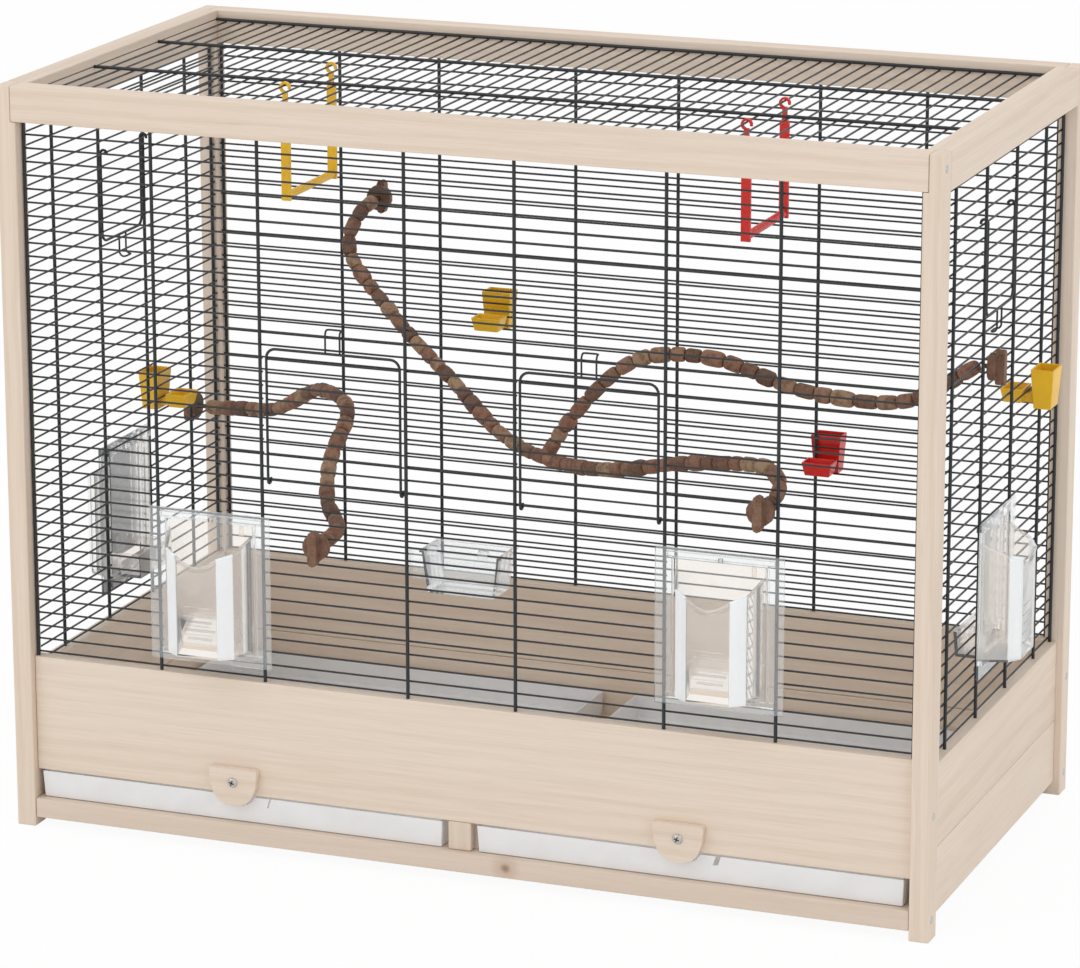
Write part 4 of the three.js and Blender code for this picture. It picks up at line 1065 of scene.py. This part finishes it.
class CAGE_OT_perches(bpy.types.Operator):
    """Bent perches: rows of turned wooden beads, studs and wing nuts"""
    bl_idname = "cage.perches"
    bl_label = "Perches"

    # Wall, place along it and height of the studs that hold each perch
    STUDS = {
        "perch_small": (("left", -150.0, 284.3), ("front", -126.0, 272.9)),
        "perch_large": (("rear", 236.0, 478.1), ("front", 258.0, 341.3), ("right", -29.0, 432.5)),
    }
    STUD_ENDS = (-12.6, 5.0)
    STUD_RADIUS = 2.0
    CORE_RADIUS = 3.6
    SPACING = 0.5  # between the points of a route
    LENGTHS = (0.72, 1.3)  # shortest and longest bead against the mean
    WIDTHS = (0.93, 1.1)
    OVERLAP = 0.15  # how far a bead reaches past each of its ends
    REST = 14  # a rest of a route with fewer points joins its last bead
    NUT_TONE = 0.25

    def execute(self, context):
        row = row_height
        short = [(-384.9, 150, row(11.5)), (-374.9, 148, row(11.5)), (-344, 132, 291),
                 (-296, 100, 302), (-228, 45, 339), (-178, -10, 338), (-173, -60, 309),
                 (-152, -115, 286), (-127, -150, 276), (-126, -175.9, row(10.5)),
                 (-126, -185.9, row(10.5))]
        long = [(-236, 185.9, row(28.5)), (-237, 175.9, row(28.5)), (-249, 156, 446),
                (-188, 117, 392), (-118, 75, 352), (-47, 25, 318), (10, -8, 311), (78, -55, 322),
                (177, -113, 352), (252, -150, 362), (266, -171.9, 350), (258, -185.9, row(16.5))]
        fork = [(0, -2, 312), (23, -3, 348), (78, 5, 402), (144, 7, 409), (227, -3, 391),
                (322, -18, 394), (372.9, -27, row(24.5) - 8), (384.9, -29, row(24.5))]
        self.perch("perch_small", [short], 5)
        self.perch("perch_large", [long, fork], 9)
        nuts = [n for n in sorted(NODES) if n.startswith("perch_nut")]
        for seed, name in enumerate(nuts):
            bm = merged_node(name)
            ease_edges(bm, 1.2 * MM, 3)
            tag_beads(bm, self.NUT_TONE)
            piece_in_metres(f"{name}_finished", bm, finish_once("bark_nuts", bark, 4.0),
                            replaces=(name,), slot="branch_wood")
        return {"FINISHED"}

    def perch(self, name, routes, seed):
        """Beads threaded on a core, along each route, and the studs at its ends."""
        look = bpy.context.scene.cage_perches
        chance = random.Random(seed)
        bm = bmesh.new()
        layer = bm.verts.layers.float.new("bead")
        for route in routes:
            line = smooth_path(route, self.SPACING)
            add_bent_wire(bm, line[::8], self.CORE_RADIUS)
            at = 0
            while at < len(line) - 6:
                length = look.bead_length / MM * chance.uniform(*self.LENGTHS)
                last = min(at + int(length / self.SPACING), len(line) - 1)
                if len(line) - 1 - last < self.REST:
                    last = len(line) - 1
                self.bead(bm, layer, line[at], line[last], look.bead_radius / MM, chance)
                at = last + 1
        for wall, x, z in self.STUDS[name]:
            ends = [WALLS[wall] @ Vector((x, y, z)) for y in self.STUD_ENDS]
            add_bar(bm, *ends, self.STUD_RADIUS, 12)
        piece(f"{name}_beads", bm, finish_once(f"bark_{name}", bark, float(seed)),
              replaces=(name,), slot="branch_wood")

    def bead(self, bm, layer, start, end, radius, chance):
        """One bead: a knobbly barrel between two points of the route."""
        way = end - start
        half = way.length / 2 + self.OVERLAP
        radius *= chance.uniform(*self.WIDTHS)
        verts = bmesh.ops.create_uvsphere(bm, u_segments=14, v_segments=10, radius=1.0)["verts"]
        phase = chance.uniform(0, 100)
        tone = chance.random()
        for vert in verts:
            flat = max(math.hypot(vert.co.x, vert.co.y), 1e-6)
            lift = math.copysign(abs(vert.co.z) ** 0.55, vert.co.z) * half
            knob = noise.noise(Vector((vert.co.x, vert.co.y, vert.co.z * 0.6 + phase)) * 1.6)
            out = radius * flat ** 0.4 * (1.0 + 0.10 * knob) / flat
            vert.co = (vert.co.x * out, vert.co.y * out, lift)
            vert[layer] = tone
        turn = way.to_track_quat("Z", "Y").to_matrix().to_4x4()
        bmesh.ops.transform(bm, matrix=Matrix.Translation((start + end) / 2) @ turn, verts=verts)


def tag_beads(bm, tone):
    """Gives every point of a piece the same bead tone."""
    layer = bm.verts.layers.float.new("bead")
    for vert in bm.verts:
        vert[layer] = tone


class CAGE_OT_treat_clips(bpy.types.Operator):
    """Moulded treat clips pushed through the grilles"""
    bl_idname = "cage.treat_clips"
    bl_label = "Treat clips"

    def execute(self, context):
        for place, name in (("left", "yellow"), ("right", "yellow"), ("rear_yellow", "yellow"),
                            ("rear_red", "red")):
            eased_node(f"treat_clip_{place}", coloured_plastic(name), 0.7, 3)
        return {"FINISHED"}


OPERATORS = (CAGE_OT_stage, CAGE_OT_wood, CAGE_OT_grilles, CAGE_OT_doors, CAGE_OT_feeders,
             CAGE_OT_hung_cup, CAGE_OT_trays, CAGE_OT_turn_buttons, CAGE_OT_swings,
             CAGE_OT_perches, CAGE_OT_treat_clips)


class CAGE_PT_pieces(bpy.types.Panel):
    """Sizes, colours and pieces of the cage"""
    bl_idname = "CAGE_PT_pieces"
    bl_label = "Breeding cage"
    bl_space_type = "VIEW_3D"
    bl_region_type = "UI"
    bl_category = "Cage"

    def draw(self, context):
        for name, group in SETTINGS.items():
            box = self.layout.box()
            settings = getattr(context.scene, name)
            for key in group.__annotations__:
                box.prop(settings, key)
        for operator in OPERATORS:
            self.layout.operator(operator.bl_idname)


SETTINGS = {
    "cage_wood": CageWood,
    "cage_wires": CageWires,
    "cage_plastics": CagePlastics,
    "cage_perches": CagePerches,
    "cage_stage": CageStage,
}


def register():
    for group in SETTINGS.values():
        bpy.utils.register_class(group)
    for name, group in SETTINGS.items():
        setattr(bpy.types.Scene, name, PointerProperty(type=group))
    for operator in (*OPERATORS, CAGE_PT_pieces):
        bpy.utils.register_class(operator)


def unregister():
    for operator in reversed((*OPERATORS, CAGE_PT_pieces)):
        bpy.utils.unregister_class(operator)
    for name, group in SETTINGS.items():
        delattr(bpy.types.Scene, name)
        bpy.utils.unregister_class(group)


def main():
    register()
    for operator in OPERATORS:
        group, name = operator.bl_idname.split(".")
        result = getattr(getattr(bpy.ops, group), name)()
        if result != {"FINISHED"}:
            raise RuntimeError(f"{operator.bl_label} did not finish")


if __name__ == "__main__":
    main()
